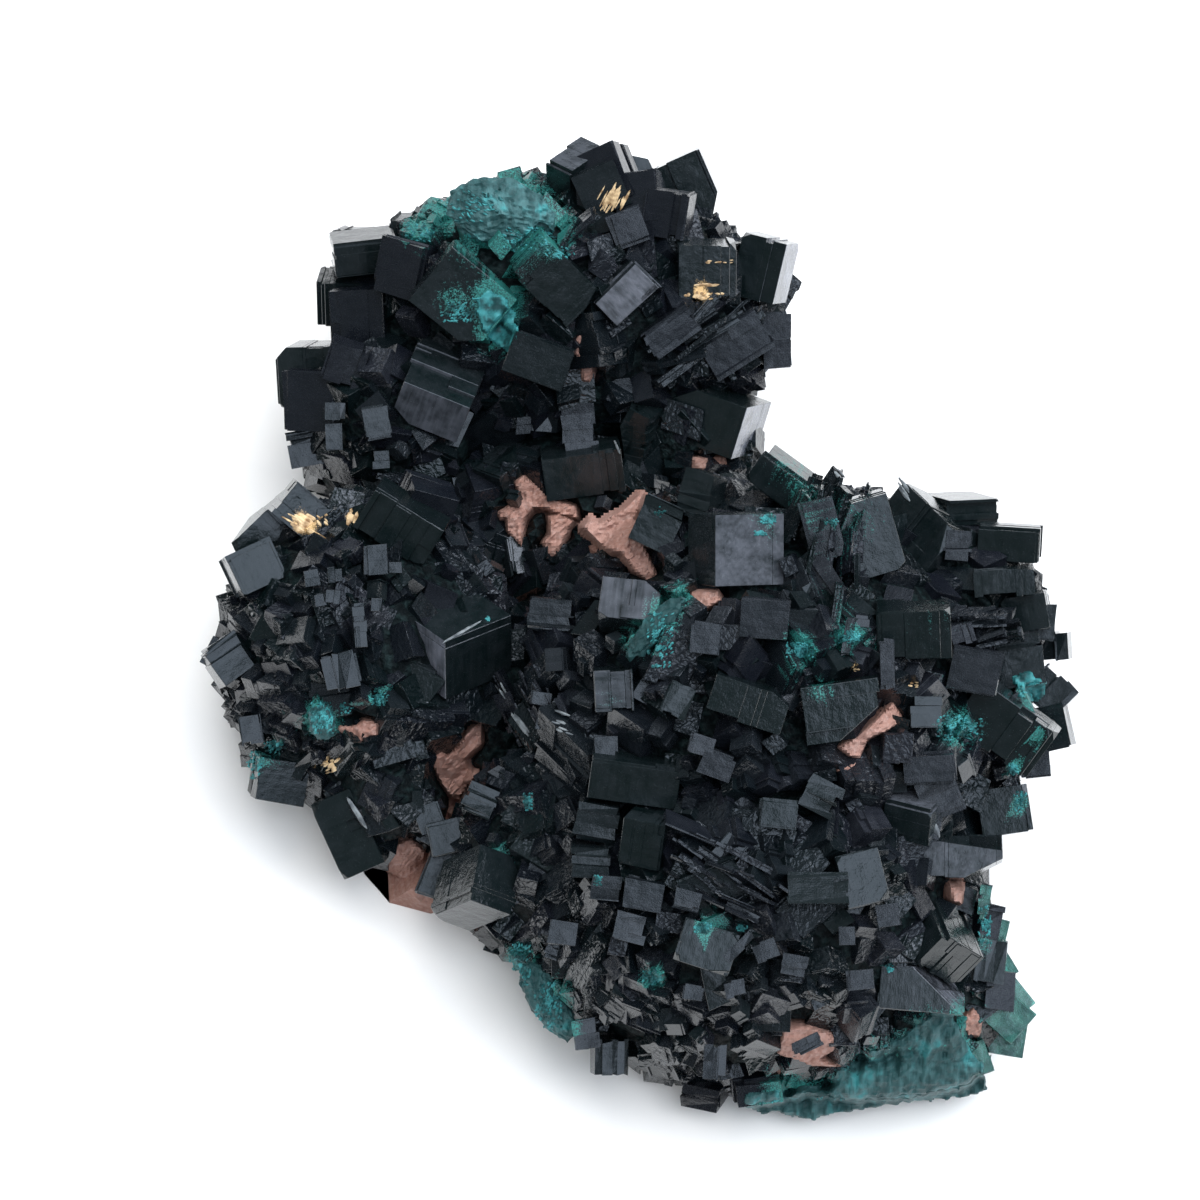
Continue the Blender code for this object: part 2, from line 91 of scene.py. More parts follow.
class Wire:
    """A socket of a material's node tree, on which Python's arithmetic adds Math nodes."""

    def __init__(self, tree, socket=None):
        self.tree = tree
        self.socket = socket

    def node(self, kind, settings=None, values=None, output=0):
        """Add a node, set its settings, then set or link its sockets, and return one output."""
        made = self.tree.nodes.new(kind)
        for name, value in (settings or {}).items():
            setattr(made, name, value)
        for name, value in (values or {}).items():
            if isinstance(value, Wire):
                self.tree.links.new(value.socket, made.inputs[name])
            else:
                made.inputs[name].default_value = value
        return Wire(self.tree, made.outputs[output])

    def maths(self, operation, first, second):
        return self.node("ShaderNodeMath", {"operation": operation}, {0: first, 1: second})

    def __add__(self, other):
        return self.maths("ADD", self, other)

    __radd__ = __add__

    def __sub__(self, other):
        return self.maths("SUBTRACT", self, other)

    def __rsub__(self, other):
        return self.maths("SUBTRACT", other, self)

    def __mul__(self, other):
        return self.maths("MULTIPLY", self, other)

    __rmul__ = __mul__

    def band(self, low, high):
        """0 below low, 1 above high and a smooth rise between them."""
        return self.node(
            "ShaderNodeMapRange",
            {"interpolation_type": "SMOOTHSTEP"},
            {"Value": self, "From Min": low, "From Max": high},
        )

    def mix(self, first, second):
        """Colour between two colours, by this factor."""
        return self.node(
            "ShaderNodeMix",
            {"data_type": "RGBA"},
            {0: self, 6: first, 7: second},
            output=2,
        )

    def place(self):
        """Where each point lies in its object."""
        return self.node("ShaderNodeTexCoord", output=3)

    def stored(self, name, output=2):
        """Number stored at each point of the mesh, or a vector, from output 1."""
        return self.node("ShaderNodeAttribute", {"attribute_name": name}, output=output)

    def speckle(self, place, scale, detail, output=0):
        """Noise at a place, as a number, or as a colour, from output 1."""
        values = {"Vector": place, "Scale": scale, "Detail": detail}
        return self.node("ShaderNodeTexNoise", None, values, output)

    def facets(self, place, scale):
        """Distance from the middles of blocky cells."""
        values = {"Vector": place, "Scale": scale}
        return self.node("ShaderNodeTexVoronoi", {"distance": "CHEBYCHEV"}, values)

    def feed(self, target, name):
        """Link this socket to an input of a node."""
        self.tree.links.new(self.socket, target.inputs[name])

    def emboss(self, target, strength, distance):
        """Use this height, over so many metres, as the relief of a shader."""
        values = {"Height": self, "Strength": strength, "Distance": distance}
        self.node("ShaderNodeBump", None, values).feed(target, "Normal")


def new_finish(name, values):
    """Material whose shader has these values, the shader, and a wire to build its nodes with."""
    made = bpy.data.materials.new(name)
    made.use_nodes = True
    principled = made.node_tree.nodes["Principled BSDF"]
    for key, value in values.items():
        principled.inputs[key].default_value = value
    return made, principled, Wire(made.node_tree)


white_paint = {"Roughness": 0.9, "Specular IOR Level": 0.1}
table_finish, shader, wire = new_finish("white_table", white_paint)
tone = wire.speckle(wire.place(), 90.0, 4.0).band(0.3, 0.7)
tone.mix((0.86, 0.87, 0.88, 1), (0.9, 0.9, 0.9, 1)).feed(shader, "Base Color")

form = bmesh.new()
bmesh.ops.create_grid(form, x_segments=8, y_segments=8, size=2.0)
floor_mesh = bpy.data.meshes.new("white_table")
form.to_mesh(floor_mesh)
form.free()
floor_mesh.materials.append(table_finish)
floor = bpy.data.objects.new("white_table", floor_mesh)
bpy.context.scene.collection.objects.link(floor)


def soft_light(name, power, size, place, colour, mirrored=True):
    """Square area light that faces the specimen; glossy faces can be kept from mirroring it."""
    data = bpy.data.lights.new(name, "AREA")
    data.energy = power
    data.size = size
    data.color = colour
    lamp = bpy.data.objects.new(name, data)
    direction = Vector(place)
    lamp.matrix_world = Matrix.LocRotScale(direction, direction.to_track_quat("Z", "Y"), None)
    lamp.visible_glossy = mirrored
    bpy.context.scene.collection.objects.link(lamp)


soft_light("table_light", 44.0, 1.9, (0.5, 0.22, 1.2), (1.0, 0.99, 0.975), mirrored=False)
soft_light("shadow_fill", 9.0, 1.6, (-0.9, -0.45, 0.95), (1.0, 0.985, 0.965), mirrored=False)
soft_light("window_upper_right", 2.8, 0.5, (0.8, 0.4, 0.95), (0.86, 0.95, 1.12))
soft_light("softbox_by_the_viewer", 2.2, 0.7, (0.32, -0.4, 0.82), (0.78, 0.93, 1.15))
soft_light("window_behind", 1.0, 0.5, (-0.15, 0.95, 0.62), (0.85, 0.95, 1.1))

world = bpy.data.worlds.new("dim_room")
bpy.context.scene.world = world
world.use_nodes = True
sky = world.node_tree.nodes["Background"]
wire = Wire(world.node_tree)
look = wire.node("ShaderNodeTexCoord")
height = wire.node("ShaderNodeSeparateXYZ", None, {0: look}, output=2)
room = height.band(0.1, 0.95).mix((0.08, 0.085, 0.09, 1), (0.13, 0.155, 0.17, 1))
room.feed(sky, "Color")
sky.inputs["Strength"].default_value = 1.0
bpy.context.scene.view_settings.view_transform = "Standard"

# ---------------------------------------------------------------------------------------------
# The pink dolomite that everything grows on. It shows in the valley between the lobes and in
# ragged windows between the crystals, with a sugary surface of tiny rhombs.

# Lobes of the specimen: middle and half-sizes in millimetres of the ellipsoid through the tips.
LOBES = {
    "dome": ((17, -10.5, 12), (26.5, 25.5, 24)),
    "dome_skirt": ((15, -29.5, 10), (23.5, 19.5, 19)),
    "dome_left_foot": ((-2, -24, 8), (13.5, 13, 14)),
    "right_shoulder": ((35.5, -1, 15), (9.5, 9, 13)),
    "right_foot": ((31, -39, 7), (8.5, 8, 10)),
    "crown": ((-4, 37, 13), (24, 16.5, 17)),
    "ridge": ((-22, 24.5, 9), (10.5, 9.5, 14)),
    "left": ((-23.5, -1.5, 9), (16, 18, 16)),
    "left_foot": ((-21, -17, 6), (6.5, 6.5, 9)),
    "valley": ((-4, 16, 5), (15, 13, 11)),
    "valley_foot": ((-10, -6, 6), (7, 11, 11)),
    "neck": ((9, 23.5, 7), (9, 7, 10)),
}

# Windows between the crystals where the rock shows, as outlines on the sheet.
WINDOWS = {
    "valley_ribbon": [(514, 482), (524, 476), (538, 487), (553, 499), (575, 507), (576, 517),
                      (560, 514), (546, 508), (532, 507), (522, 513), (500, 519), (498, 513),
                      (514, 503), (522, 497)],
    "valley_branch": [(522, 500), (533, 507), (523, 520), (521, 546), (508, 532), (506, 518)],
    "valley_fork": [(549, 517), (560, 514), (572, 521), (562, 541), (557, 556), (548, 556),
                    (543, 543), (550, 535)],
    "valley_right": [(598, 524), (620, 512), (641, 494), (640, 505), (633, 520), (642, 540),
                     (656, 574), (648, 582), (634, 570), (622, 552), (606, 548), (592, 536),
                     (583, 527), (590, 519)],
    "crown_slot": [(575, 338), (583, 334), (586, 352), (594, 362), (590, 382), (583, 380),
                   (581, 360), (572, 352)],
    "neck_gap": [(690, 458), (724, 456), (726, 464), (700, 470), (690, 468)],
    "shelf_gap": [(690, 592), (718, 590), (720, 600), (706, 608), (692, 606)],
    "left_window": [(338, 726), (352, 728), (362, 722), (378, 724), (377, 735), (364, 738),
                    (356, 750), (345, 748), (338, 738)],
    "left_star": [(438, 744), (447, 758), (462, 742), (472, 730), (480, 724), (480, 744),
                  (464, 760), (474, 778), (462, 782), (452, 796), (442, 784), (432, 764)],
    "left_low": [(392, 846), (410, 840), (424, 852), (426, 876), (402, 880), (384, 870)],
    "right_slope": [(893, 703), (904, 720), (884, 732), (868, 738), (860, 758), (850, 756),
                    (840, 748), (858, 736), (874, 722)],
    "right_slope_low": [(855, 763), (874, 765), (862, 776), (851, 786), (838, 771)],
    "foot_ring": [(785, 1030), (808, 1028), (832, 1035), (839, 1050), (816, 1059), (841, 1067),
                  (812, 1066), (779, 1054)],
    "foot_drop": [(964, 1020), (974, 1010), (984, 1022), (980, 1038), (968, 1036)],
    "right_low": [(952, 888), (964, 890), (962, 904), (953, 900)],
}


def on_sheet(points):
    """Sheet coordinates and depth of points in millimetres, as three arrays."""
    relative = np.asarray(points, float) - np.array(VIEWPOINT)
    depth = -relative @ np.array(VIEW_BACK)
    unit = VIEW_DISTANCE * 10 / depth
    xs = SHEET_MIDDLE + relative @ np.array(VIEW_RIGHT) * unit
    ys = SHEET_MIDDLE - relative @ np.array(VIEW_UP) * unit
    return xs, ys, depth


def sheet_direction(x, y):
    """Direction from the viewpoint through a point of the sheet, one unit deep."""
    right, up = (x - SHEET_MIDDLE) * SHEET_UNIT, (SHEET_MIDDLE - y) * SHEET_UNIT
    return VIEW_RIGHT * right + VIEW_UP * up - VIEW_BACK


def lobe_depths(xs, ys):
    """Depth of the first lobe behind points of the sheet, infinite where there is none, and the
    depth of the nearest pass by a lobe."""
    right = (np.asarray(xs, float)[..., None] - SHEET_MIDDLE) * SHEET_UNIT
    up = (SHEET_MIDDLE - np.asarray(ys, float)[..., None]) * SHEET_UNIT
    lines = right * np.array(VIEW_RIGHT) + up * np.array(VIEW_UP) - np.array(VIEW_BACK)
    best = np.full(lines.shape[:-1], np.inf)
    nearest = np.full(lines.shape[:-1], np.inf)
    passed = np.full(lines.shape[:-1], VIEW_DISTANCE)
    for middle, half in LOBES.values():
        start = (np.array(VIEWPOINT) - middle) / np.array(half, float)
        along = lines / np.array(half, float)
        a = (along * along).sum(-1)
        b = (along * start).sum(-1)
        inside = b * b - a * (start @ start - 1)
        depth = (-b - np.sqrt(np.maximum(inside, 0))) / a
        best = np.where((inside >= 0) & (depth < best), depth, best)
        miss = -inside / a
        closer = (inside < 0) & (miss < nearest)
        passed = np.where(closer, -b / a, passed)
        nearest = np.where(closer, miss, nearest)
    return best, passed


def surface_depth(xs, ys):
    """Depth of the first lobe behind points of the sheet, or of the nearest pass where none is."""
    best, passed = lobe_depths(xs, ys)
    return np.where(np.isfinite(best), best, passed)


def in_outline(xs, ys, outline):
    """Whether points of the sheet lie inside an outline."""
    inside = np.zeros(np.shape(xs), bool)
    for (x1, y1), (x2, y2) in zip(outline, outline[1:] + outline[:1]):
        crosses = (y1 > ys) != (y2 > ys)
        with np.errstate(divide="ignore", invalid="ignore"):
            reach = x1 + (ys - y1) * (x2 - x1) / (y2 - y1 if y2 != y1 else 1e-9)
        inside ^= crosses & (xs < reach)
    return inside


def outline_distance(xs, ys, outline):
    """Distance of points of the sheet from an outline, negative inside it."""
    far = np.full(np.shape(xs), np.inf)
    for (x1, y1), (x2, y2) in zip(outline, outline[1:] + outline[:1]):
        dx, dy = x2 - x1, y2 - y1
        share = np.clip(((xs - x1) * dx + (ys - y1) * dy) / (dx * dx + dy * dy), 0, 1)
        far = np.minimum(far, np.hypot(xs - x1 - share * dx, ys - y1 - share * dy))
    return np.where(in_outline(xs, ys, outline), -far, far)


def node_form(name):
    """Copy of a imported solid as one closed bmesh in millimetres."""
    form = bmesh.new()
    form.from_mesh(frame["nodes"][name].data)
    bmesh.ops.scale(form, vec=(1 / MM,) * 3, verts=form.verts)
    bmesh.ops.remove_doubles(form, verts=form.verts, dist=0.001)
    return form


def finished_piece(name, form, finish, slot, *nodes):
    """Object of a bmesh in millimetres that stands for the named solids."""
    bmesh.ops.scale(form, vec=(MM,) * 3, verts=form.verts)
    mesh = bpy.data.meshes.new(name)
    form.to_mesh(mesh)
    form.free()
    mesh.materials.append(finish)
    piece = bpy.data.objects.new(name, mesh)
    bpy.context.scene.collection.objects.link(piece)
    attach(piece, "root")
    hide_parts(*nodes)
    return piece


def join(whole, form):
    """Add a bmesh to another and free it."""
    spare = bpy.data.meshes.new("spare")
    form.to_mesh(spare)
    form.free()
    whole.from_mesh(spare)
    bpy.data.meshes.remove(spare)


def keep_above(form, height):
    """Raise the points of a bmesh that are lower than a height over the table."""
    for vert in form.verts:
        vert.co.z = max(vert.co.z, height)


def split_long_edges(form, longest):
    """Subdivide a triangle mesh, in a few rounds, until no edge is longer than the function of its
    middle allows."""
    for _ in range(7):
        middles = [(edge, (edge.verts[0].co + edge.verts[1].co) / 2) for edge in form.edges]
        limits = longest(np.array([tuple(middle) for _, middle in middles]))
        long = [edge for (edge, _), limit in zip(middles, limits) if edge.calc_length() > limit]
        if not long:
            break
        bmesh.ops.subdivide_edges(form, edges=long, cuts=1, use_grid_fill=False)
        bmesh.ops.triangulate(form, faces=[face for face in form.faces if len(face.verts) > 3])


# Longest edges of the rock's mesh: near the table, up to this height, where it shows, and above.
LOW_ROCK, LOW_ROCK_GRAIN, ROCK_GRAIN = 8, 1.3, 2.6


def rock_grain(points):
    """Longest edge of the rock's mesh at each point."""
    return np.where(points[:, 2] < LOW_ROCK, LOW_ROCK_GRAIN, ROCK_GRAIN)


def sheet_patch(outline, rim, grain):
    """Grid of this grain over an outline of the sheet and a rim round it, the places of its
    points on the sheet, and their distances from the outline."""
    low = [min(point[i] for point in outline) - rim for i in range(2)]
    high = [max(point[i] for point in outline) + rim for i in range(2)]
    wide, tall = high[0] - low[0], high[1] - low[1]
    patch = bmesh.new()
    bmesh.ops.create_grid(
        patch, x_segments=round(wide / grain), y_segments=round(tall / grain), size=0.5
    )
    xs = np.array([low[0] + (vert.co.x + 0.5) * wide for vert in patch.verts])
    ys = np.array([high[1] - (vert.co.y + 0.5) * tall for vert in patch.verts])
    return patch, xs, ys, outline_distance(xs, ys, outline)


def lay_patch(patch, xs, ys, depths, rounds):
    """Put the points of a grid at these depths behind the sheet, and smooth it some rounds."""
    for vert, x, y, depth in zip(patch.verts, xs, ys, depths):
        vert.co = VIEWPOINT + sheet_direction(x, y) * depth
    for _ in range(rounds):
        bmesh.ops.smooth_vert(
            patch, verts=patch.verts, factor=0.5, use_axis_x=True, use_axis_y=True, use_axis_z=True
        )


def close_patch(patch, outside, thick, lowest):
    """Delete the outside points of a laid grid and give the rest a thickness away from the
    viewer, no lower than a height over the table."""
    bmesh.ops.delete(patch, geom=outside, context="VERTS")
    for item in bmesh.ops.extrude_face_region(patch, geom=patch.faces[:])["geom"]:
        if isinstance(item, bmesh.types.BMVert):
            item.co -= VIEW_BACK * thick
    bmesh.ops.recalc_face_normals(patch, faces=patch.faces)
    keep_above(patch, lowest)


dolomite, shader, wire = new_finish("pink_dolomite", {"Roughness": 0.75})
place = wire.place()
broad = wire.speckle(place, 220.0, 3.0)
fine = wire.speckle(place, 2400.0, 3.0)
rhombs = wire.facets(place, 2100.0)
tone = broad.band(0.3, 0.7).mix((0.26, 0.135, 0.105, 1), (0.36, 0.21, 0.175, 1))
tone = (fine.band(0.45, 0.75) * 0.5).mix(tone, (0.44, 0.31, 0.28, 1))
tone = (fine.band(0.42, 0.2) * 0.5).mix(tone, (0.12, 0.055, 0.042, 1))
tone.feed(shader, "Base Color")
(rhombs * 0.7 + fine * 0.5).emboss(shader, 0.7, 0.0002)

# How far behind the crystals' tips the body of the rock stays.
ROCK_DEPTH = 4.6
rock = node_form("matrix")
split_long_edges(rock, rock_grain)
rock.normal_update()
for vert in rock.verts:
    rise = 0.5 * noise.fractal(vert.co * 0.45, 0.9, 2.1, 4) + 0.22 * noise.noise(vert.co * 2.2)
    vert.co += vert.normal * (0.0 if vert.co.z < 0.05 else rise)
xs, ys, depth = on_sheet([tuple(vert.co) for vert in rock.verts])
for vert, sunk in zip(rock.verts, depth - surface_depth(xs, ys)):
    if vert.co.z > 0.5 and sunk < ROCK_DEPTH:
        vert.co += VIEW_BACK * (sunk - ROCK_DEPTH)
keep_above(rock, 0.0)
finished_piece("matrix_rock", rock, dolomite, "pink_dolomite", "matrix")

# The rock in the windows: one uneven slab under each, a little below the crystals' tips and
# falling away under the crystals round it. Rims are in units of the sheet, the rest in mm.
WINDOW_GRID_RIM, WINDOW_SLOPE, WINDOW_CUT = 16, 6, 8
WINDOW_GRAIN = 2.6
WINDOW_DROP, WINDOW_FALL, WINDOW_THICK = 1.3, 3.6, 5.0
WINDOW_RISE, WINDOW_SINK = 2, 4
slabs = bmesh.new()
for outline in WINDOWS.values():
    slab, xs, ys, gaps = sheet_patch(outline, WINDOW_GRID_RIM, WINDOW_GRAIN)
    inner = np.clip((WINDOW_SLOPE - gaps) / WINDOW_SLOPE, 0, 1)
    levels = surface_depth(xs, ys)
    usual = np.median(levels[inner > 0.9])
    levels = np.clip(levels, usual - WINDOW_RISE, usual + WINDOW_SINK - WINDOW_RISE * inner)
    lay_patch(slab, xs, ys, levels + WINDOW_DROP, 4)
    for vert, share in zip(slab.verts, inner):
        facets = 0.8 * noise.noise(vert.co * 0.5) + 0.5 * abs(noise.noise(vert.co * 1.2))
        facets += 0.14 * noise.noise(vert.co * 3.5)
        vert.co -= VIEW_BACK * (facets + WINDOW_FALL * (1 - share))
    outside = [vert for vert, gap in zip(slab.verts, gaps) if gap > WINDOW_CUT]
    close_patch(slab, outside, WINDOW_THICK, 0.3)
    join(slabs, slab)
finished_piece("matrix_window_rock", slabs, dolomite, "pink_dolomite", "matrix")

# ---------------------------------------------------------------------------------------------
# The large dioptase crystals. Each is a near-cube of sub-parallel blocks grown into one another,
# with stepped growth layers, fine striations and sharp bright edges.

# Chrysocolla powdered over the crystals, and iron stain on them: middle on the sheet, radius
# and strength.
TEAL_SPOTS = [
    (500, 212, 64, 0.9), (455, 205, 40, 0.8), (548, 228, 34, 0.9), (418, 230, 20, 0.9),
    (498, 300, 30, 1.0), (495, 330, 22, 1.0), (455, 300, 26, 0.5), (512, 360, 9, 0.9),
    (640, 640, 22, 0.9), (665, 610, 24, 0.7), (682, 590, 14, 0.7), (800, 650, 20, 1.0),
    (850, 637, 18, 0.8), (820, 690, 20, 0.5), (768, 519, 8, 1.0), (760, 533, 9, 1.0),
    (660, 512, 8, 0.8), (832, 522, 9, 0.7), (805, 492, 26, 0.45), (322, 718, 22, 1.0),
    (379, 698, 12, 0.8), (347, 708, 7, 0.8), (255, 763, 14, 0.8), (273, 748, 12, 0.7),
    (242, 622, 6, 0.8), (528, 802, 8, 1.0), (490, 855, 7, 0.8), (598, 880, 6, 0.7),
    (520, 965, 22, 0.9), (548, 1000, 26, 0.9), (565, 1030, 20, 0.9), (652, 977, 16, 0.9),
    (703, 928, 12, 1.0), (742, 928, 6, 0.8), (960, 728, 28, 0.7), (780, 1100, 34, 0.9),
    (850, 520, 52, 0.36), (790, 468, 32, 0.42), (830, 575, 40, 0.32), (610, 700, 26, 0.3),
    (930, 620, 50, 0.25), (1029, 688, 14, 1.0), (1013, 770, 8, 1.0), (1036, 735, 12, 0.8),
    (1020, 802, 12, 0.8), (948, 680, 8, 0.8), (889, 968, 6, 0.8), (836, 1098, 28, 0.9),
    (930, 1070, 56, 0.9), (960, 1085, 34, 1.0), (870, 1080, 34, 0.8), (985, 940, 12, 0.6),
    (925, 1040, 44, 0.6), (965, 1015, 26, 0.6), (880, 1052, 30, 0.5),
]
GOLD_SPOTS = [
    (303, 524, 14, 1.0), (321, 520, 6, 1.0), (352, 517, 8, 1.0), (330, 765, 9, 0.9),
    (613, 200, 13, 1.0), (703, 292, 13, 1.0), (718, 262, 7, 0.9), (914, 686, 7, 0.8),
    (856, 668, 7, 0.7), (676, 666, 5, 0.7),
]


def spot_strength(xs, ys, spots):
    """How strongly the nearest of some soft round spots marks each point of the sheet. A spot is
    full up to 0.35 of its radius and gone at 1.35."""
    strength = np.zeros(np.shape(xs))
    for x, y, radius, peak in spots:
        share = np.clip(1.35 - np.hypot(xs - x, ys - y) / radius, 0, 1)
        strength = np.maximum(strength, share * peak)
    return strength


dioptase, shader, wire = new_finish("dioptase", {"IOR": 1.66})
grain = wire.stored("grain", output=1)
teal, gold, haze_and_painted_light, tone, broken = (
    wire.stored(name) for name in ("teal", "gold", "haze_and_painted_light", "tone", "broken")
)
along = wire.node(
    "ShaderNodeVectorMath", {"operation": "MULTIPLY"}, {0: grain, 1: (0.25, 2.4, 2.4)}
)
lines = wire.speckle(along, 1.0, 2.0)
pits = wire.speckle(grain, 8.0, 2.0)
cloud = wire.speckle(grain, 0.6, 2.0)
warp = {0: 0.6, 4: grain, 5: wire.speckle(grain, 0.9, 1.0, output=1)}
chips = wire.facets(wire.node("ShaderNodeMix", {"data_type": "VECTOR"}, warp, output=1), 4.5)
relief = lines * 0.3 + pits * 0.3 + cloud * 1.6 + chips * broken.band(0.25, 1.0) * 3.2
relief.emboss(shader, 1.0, 0.00005)
body = tone.mix((0.0008, 0.0042, 0.0044, 1), (0.003, 0.004, 0.0072, 1))
# Grey haze over the dark body: partly dull faces, partly painted light on faces and regions that
# catch the light.
dull_and_lit = (haze_and_painted_light + pits * 0.04) * (cloud * 0.6 + lines * 0.4).band(0.15, 0.75)
body = dull_and_lit.mix(body, (0.165, 0.18, 0.222, 1))
flecks = (pits * 0.6 + lines * 0.7 + teal).band(1.0, 1.35)
crust = pits.band(0.35, 0.7).mix((0.006, 0.05, 0.047, 1), (0.03, 0.24, 0.22, 1))
body = flecks.mix(body, crust)
stain = (gold + pits * 0.5).band(0.75, 1.05)
stain.mix(body, (0.75, 0.5, 0.24, 1)).feed(shader, "Base Color")
rough = 0.13 + tone * 0.1 + pits.band(0.35, 0.8) * 0.16 + flecks * 0.35 + stain * 0.1
rough.feed(shader, "Roughness")

# Clear bluish green dioptase at the thin edges of the specimen, where light comes through.
green_dioptase, shader, wire = new_finish(
    "green_dioptase", {"Roughness": 0.22, "IOR": 1.66, "Transmission Weight": 0.8}
)
grain = wire.stored("grain", output=1)
cloud = wire.speckle(grain, 0.7, 5.0)
tone = cloud.band(0.35, 0.65).mix((0.16, 0.5, 0.45, 1), (0.04, 0.2, 0.19, 1))
tone.feed(shader, "Base Color")
cloud.emboss(shader, 1.0, 0.0001)
murk = {"Color": (0.2, 0.75, 0.66, 1), "Density": 420.0}
output = wire.tree.nodes["Material Output"]
wire.node("ShaderNodeVolumeAbsorption", None, murk).feed(output, "Volume")

# How far apart the materials' patterns of two crystals are.
GRAIN_JUMP = 37.0

# Faces of named crystals painted light grey where they catch the light, a painted highlight: right,
# up and towards-the-viewer parts of the direction they face, and how grey they are.
LIT_FACES_PAINTED_GREY = {
    "left_lobe_grey_face_crystal": ((-0.78, -0.31, 0.55), 1.0),
    "square_blue_grey_crystal": ((0.39, -0.06, 0.92), 0.45),
    "valley_pale_crystal": ((-0.05, 0.35, 0.94), 0.45),
    "crown_grey_slab": ((-0.19, -0.62, 0.76), 0.5),
    "valley_black_crystal": ((0.9, -0.34, 0.28), 1.0),
    "crown_bright_crystal": ((-0.13, -0.1, 0.99), 0.7),
    "crown_right_end_crystal": ((0.93, -0.27, 0.26), 1.0),
    "foot_grey_slab": ((0.62, 0.71, 0.33), 0.5),
    "right_slope_blue_crystal": ((0.08, 0.93, 0.36), 0.5),
    "right_low_slab": ((-0.12, 0.15, 0.98), 0.3),
    "centre_pillar_crystal": ((0.0, -0.07, 1.0), 0.25),
    "crown_peak_crystal": ((-0.04, 0.73, 0.68), 0.3),
    "crown_right_peak_crystal": ((0.91, 0.39, 0.13), 0.3),
}

# What a crystal's own haze and painted light counts for on its clear faces, and the least cosine
# between the directions of a face painted lit grey and of a point that belongs to it.
CLEAR_SHARE = 0.07
SAME_FACE = 0.72


def haze_and_painted_light_of(mesh, ordinary):
    """Haze of a piece's points: a little everywhere, and painted light, a light grey, on a face
    that catches the light.
    """
    haze_and_painted_light = ordinary * CLEAR_SHARE
    lit_face = LIT_FACES_PAINTED_GREY.get(mesh.name.removesuffix("_grown"))
    if lit_face:
        (right, up, back), grey = lit_face
        facing = (VIEW_RIGHT * right + VIEW_UP * up + VIEW_BACK * back).normalized()
        normals = np.empty(len(mesh.vertices) * 3)
        mesh.vertices.foreach_get("normal", normals)
        # A face that catches the light gets a painted highlight of light grey.
        on_face = normals.reshape(-1, 3) @ np.array(facing) > SAME_FACE
        haze_and_painted_light = np.where(on_face, grey, haze_and_painted_light)
    return haze_and_painted_light


def store(mesh, name, values):
    """Store a number, or one for each point of a mesh, as its attribute."""
    values = np.full(len(mesh.vertices), values, float)
    mesh.attributes.new(name, "FLOAT", "POINT").data.foreach_set("value", values)


def mark_crystals(piece, places):
    """Store on a piece where each point lies in its own crystal, and what coats it there.

    places holds, for each crystal number, its middle, its axes, its haze with painted light and how
    broken it is."""
    mesh = piece.data
    count = len(mesh.vertices)
    points = np.empty(count * 3)
    mesh.vertices.foreach_get("co", points)
    points = points.reshape(-1, 3) / MM
    numbers = np.empty(count, np.int32)
    mesh.attributes["crystal"].data.foreach_get("value", numbers)
    middles, turns, hazes_and_light, roughly = zip(*places)
    middles = np.array([tuple(middle) for middle in middles])
    turns = np.array([np.array(axes.transposed()) for axes in turns])
    local = np.einsum("nij,nj->ni", turns[numbers], points - middles[numbers])
    # Prime factors shuffle the crystals' numbers here and for the tone, so neighbours differ.
    local += ((numbers * 7919) % 101)[:, None] * GRAIN_JUMP
    values = mesh.attributes.new("grain", "FLOAT_VECTOR", "POINT")
    values.data.foreach_set("vector", local.ravel())
    xs, ys, depth = on_sheet(points)
    # What coats the tips fades out from 3.6 mm to 9.6 mm behind them.
    front = np.clip(1.6 - (depth - surface_depth(xs, ys)) / 6.0, 0, 1)
    store(mesh, "teal", spot_strength(xs, ys, TEAL_SPOTS) * front)
    store(mesh, "gold", spot_strength(xs, ys, GOLD_SPOTS) * front)
    store(mesh, "haze_and_painted_light", haze_and_painted_light_of(mesh, np.array(hazes_and_light)[numbers]))
    store(mesh, "tone", ((numbers * 389) % 97) / 97.0)
    store(mesh, "broken", np.array(roughly)[numbers])


def cut_away(form, point, outward):
    """Cut off what lies beyond a plane and close the cut."""
    everything = form.verts[:] + form.edges[:] + form.faces[:]
    result = bmesh.ops.bisect_plane(
        form, geom=everything, plane_co=point, plane_no=outward, clear_outer=True
    )
    edges = [item for item in result["geom_cut"] if isinstance(item, bmesh.types.BMEdge)]
    if edges:
        bmesh.ops.edgenet_fill(form, edges=edges)


def box_fit(axes, middle, low, high):
    """Matrix that turns a unit cube into the box with this extent along some axes."""
    fit = (axes @ Matrix.Diagonal([high[i] - low[i] for i in range(3)])).to_4x4()
    fit.translation = middle + axes @ Vector([(high[i] + low[i]) / 2 for i in range(3)])
    return fit


def bevel(form, width):
    """Bevel every edge of a bmesh."""
    bmesh.ops.bevel(
        form, geom=form.edges[:], offset=width, offset_type="OFFSET", segments=1,
        profile=0.5, affect="EDGES", material=-1, clamp_overlap=True,
    )


# How wide the bright edges of a large crystal's blocks are.
LARGE_EDGE = 0.05


def add_block(whole, low, high, axes, middle, number, planes=()):
    """Add one bevelled block, given by its extent along a crystal's axes, to a bmesh."""
    block = bmesh.new()
    numbers = block.verts.layers.int.new("crystal")
    bmesh.ops.create_cube(block, size=1.0, matrix=box_fit(axes, middle, low, high))
    for point, outward in planes:
        cut_away(block, point, outward)
    if len(block.faces) > 3:
        bmesh.ops.recalc_face_normals(block, faces=block.faces)
        bevel(block, LARGE_EDGE)
        for vert in block.verts:
            vert[numbers] = number
        join(whole, block)
    else:
        block.free()


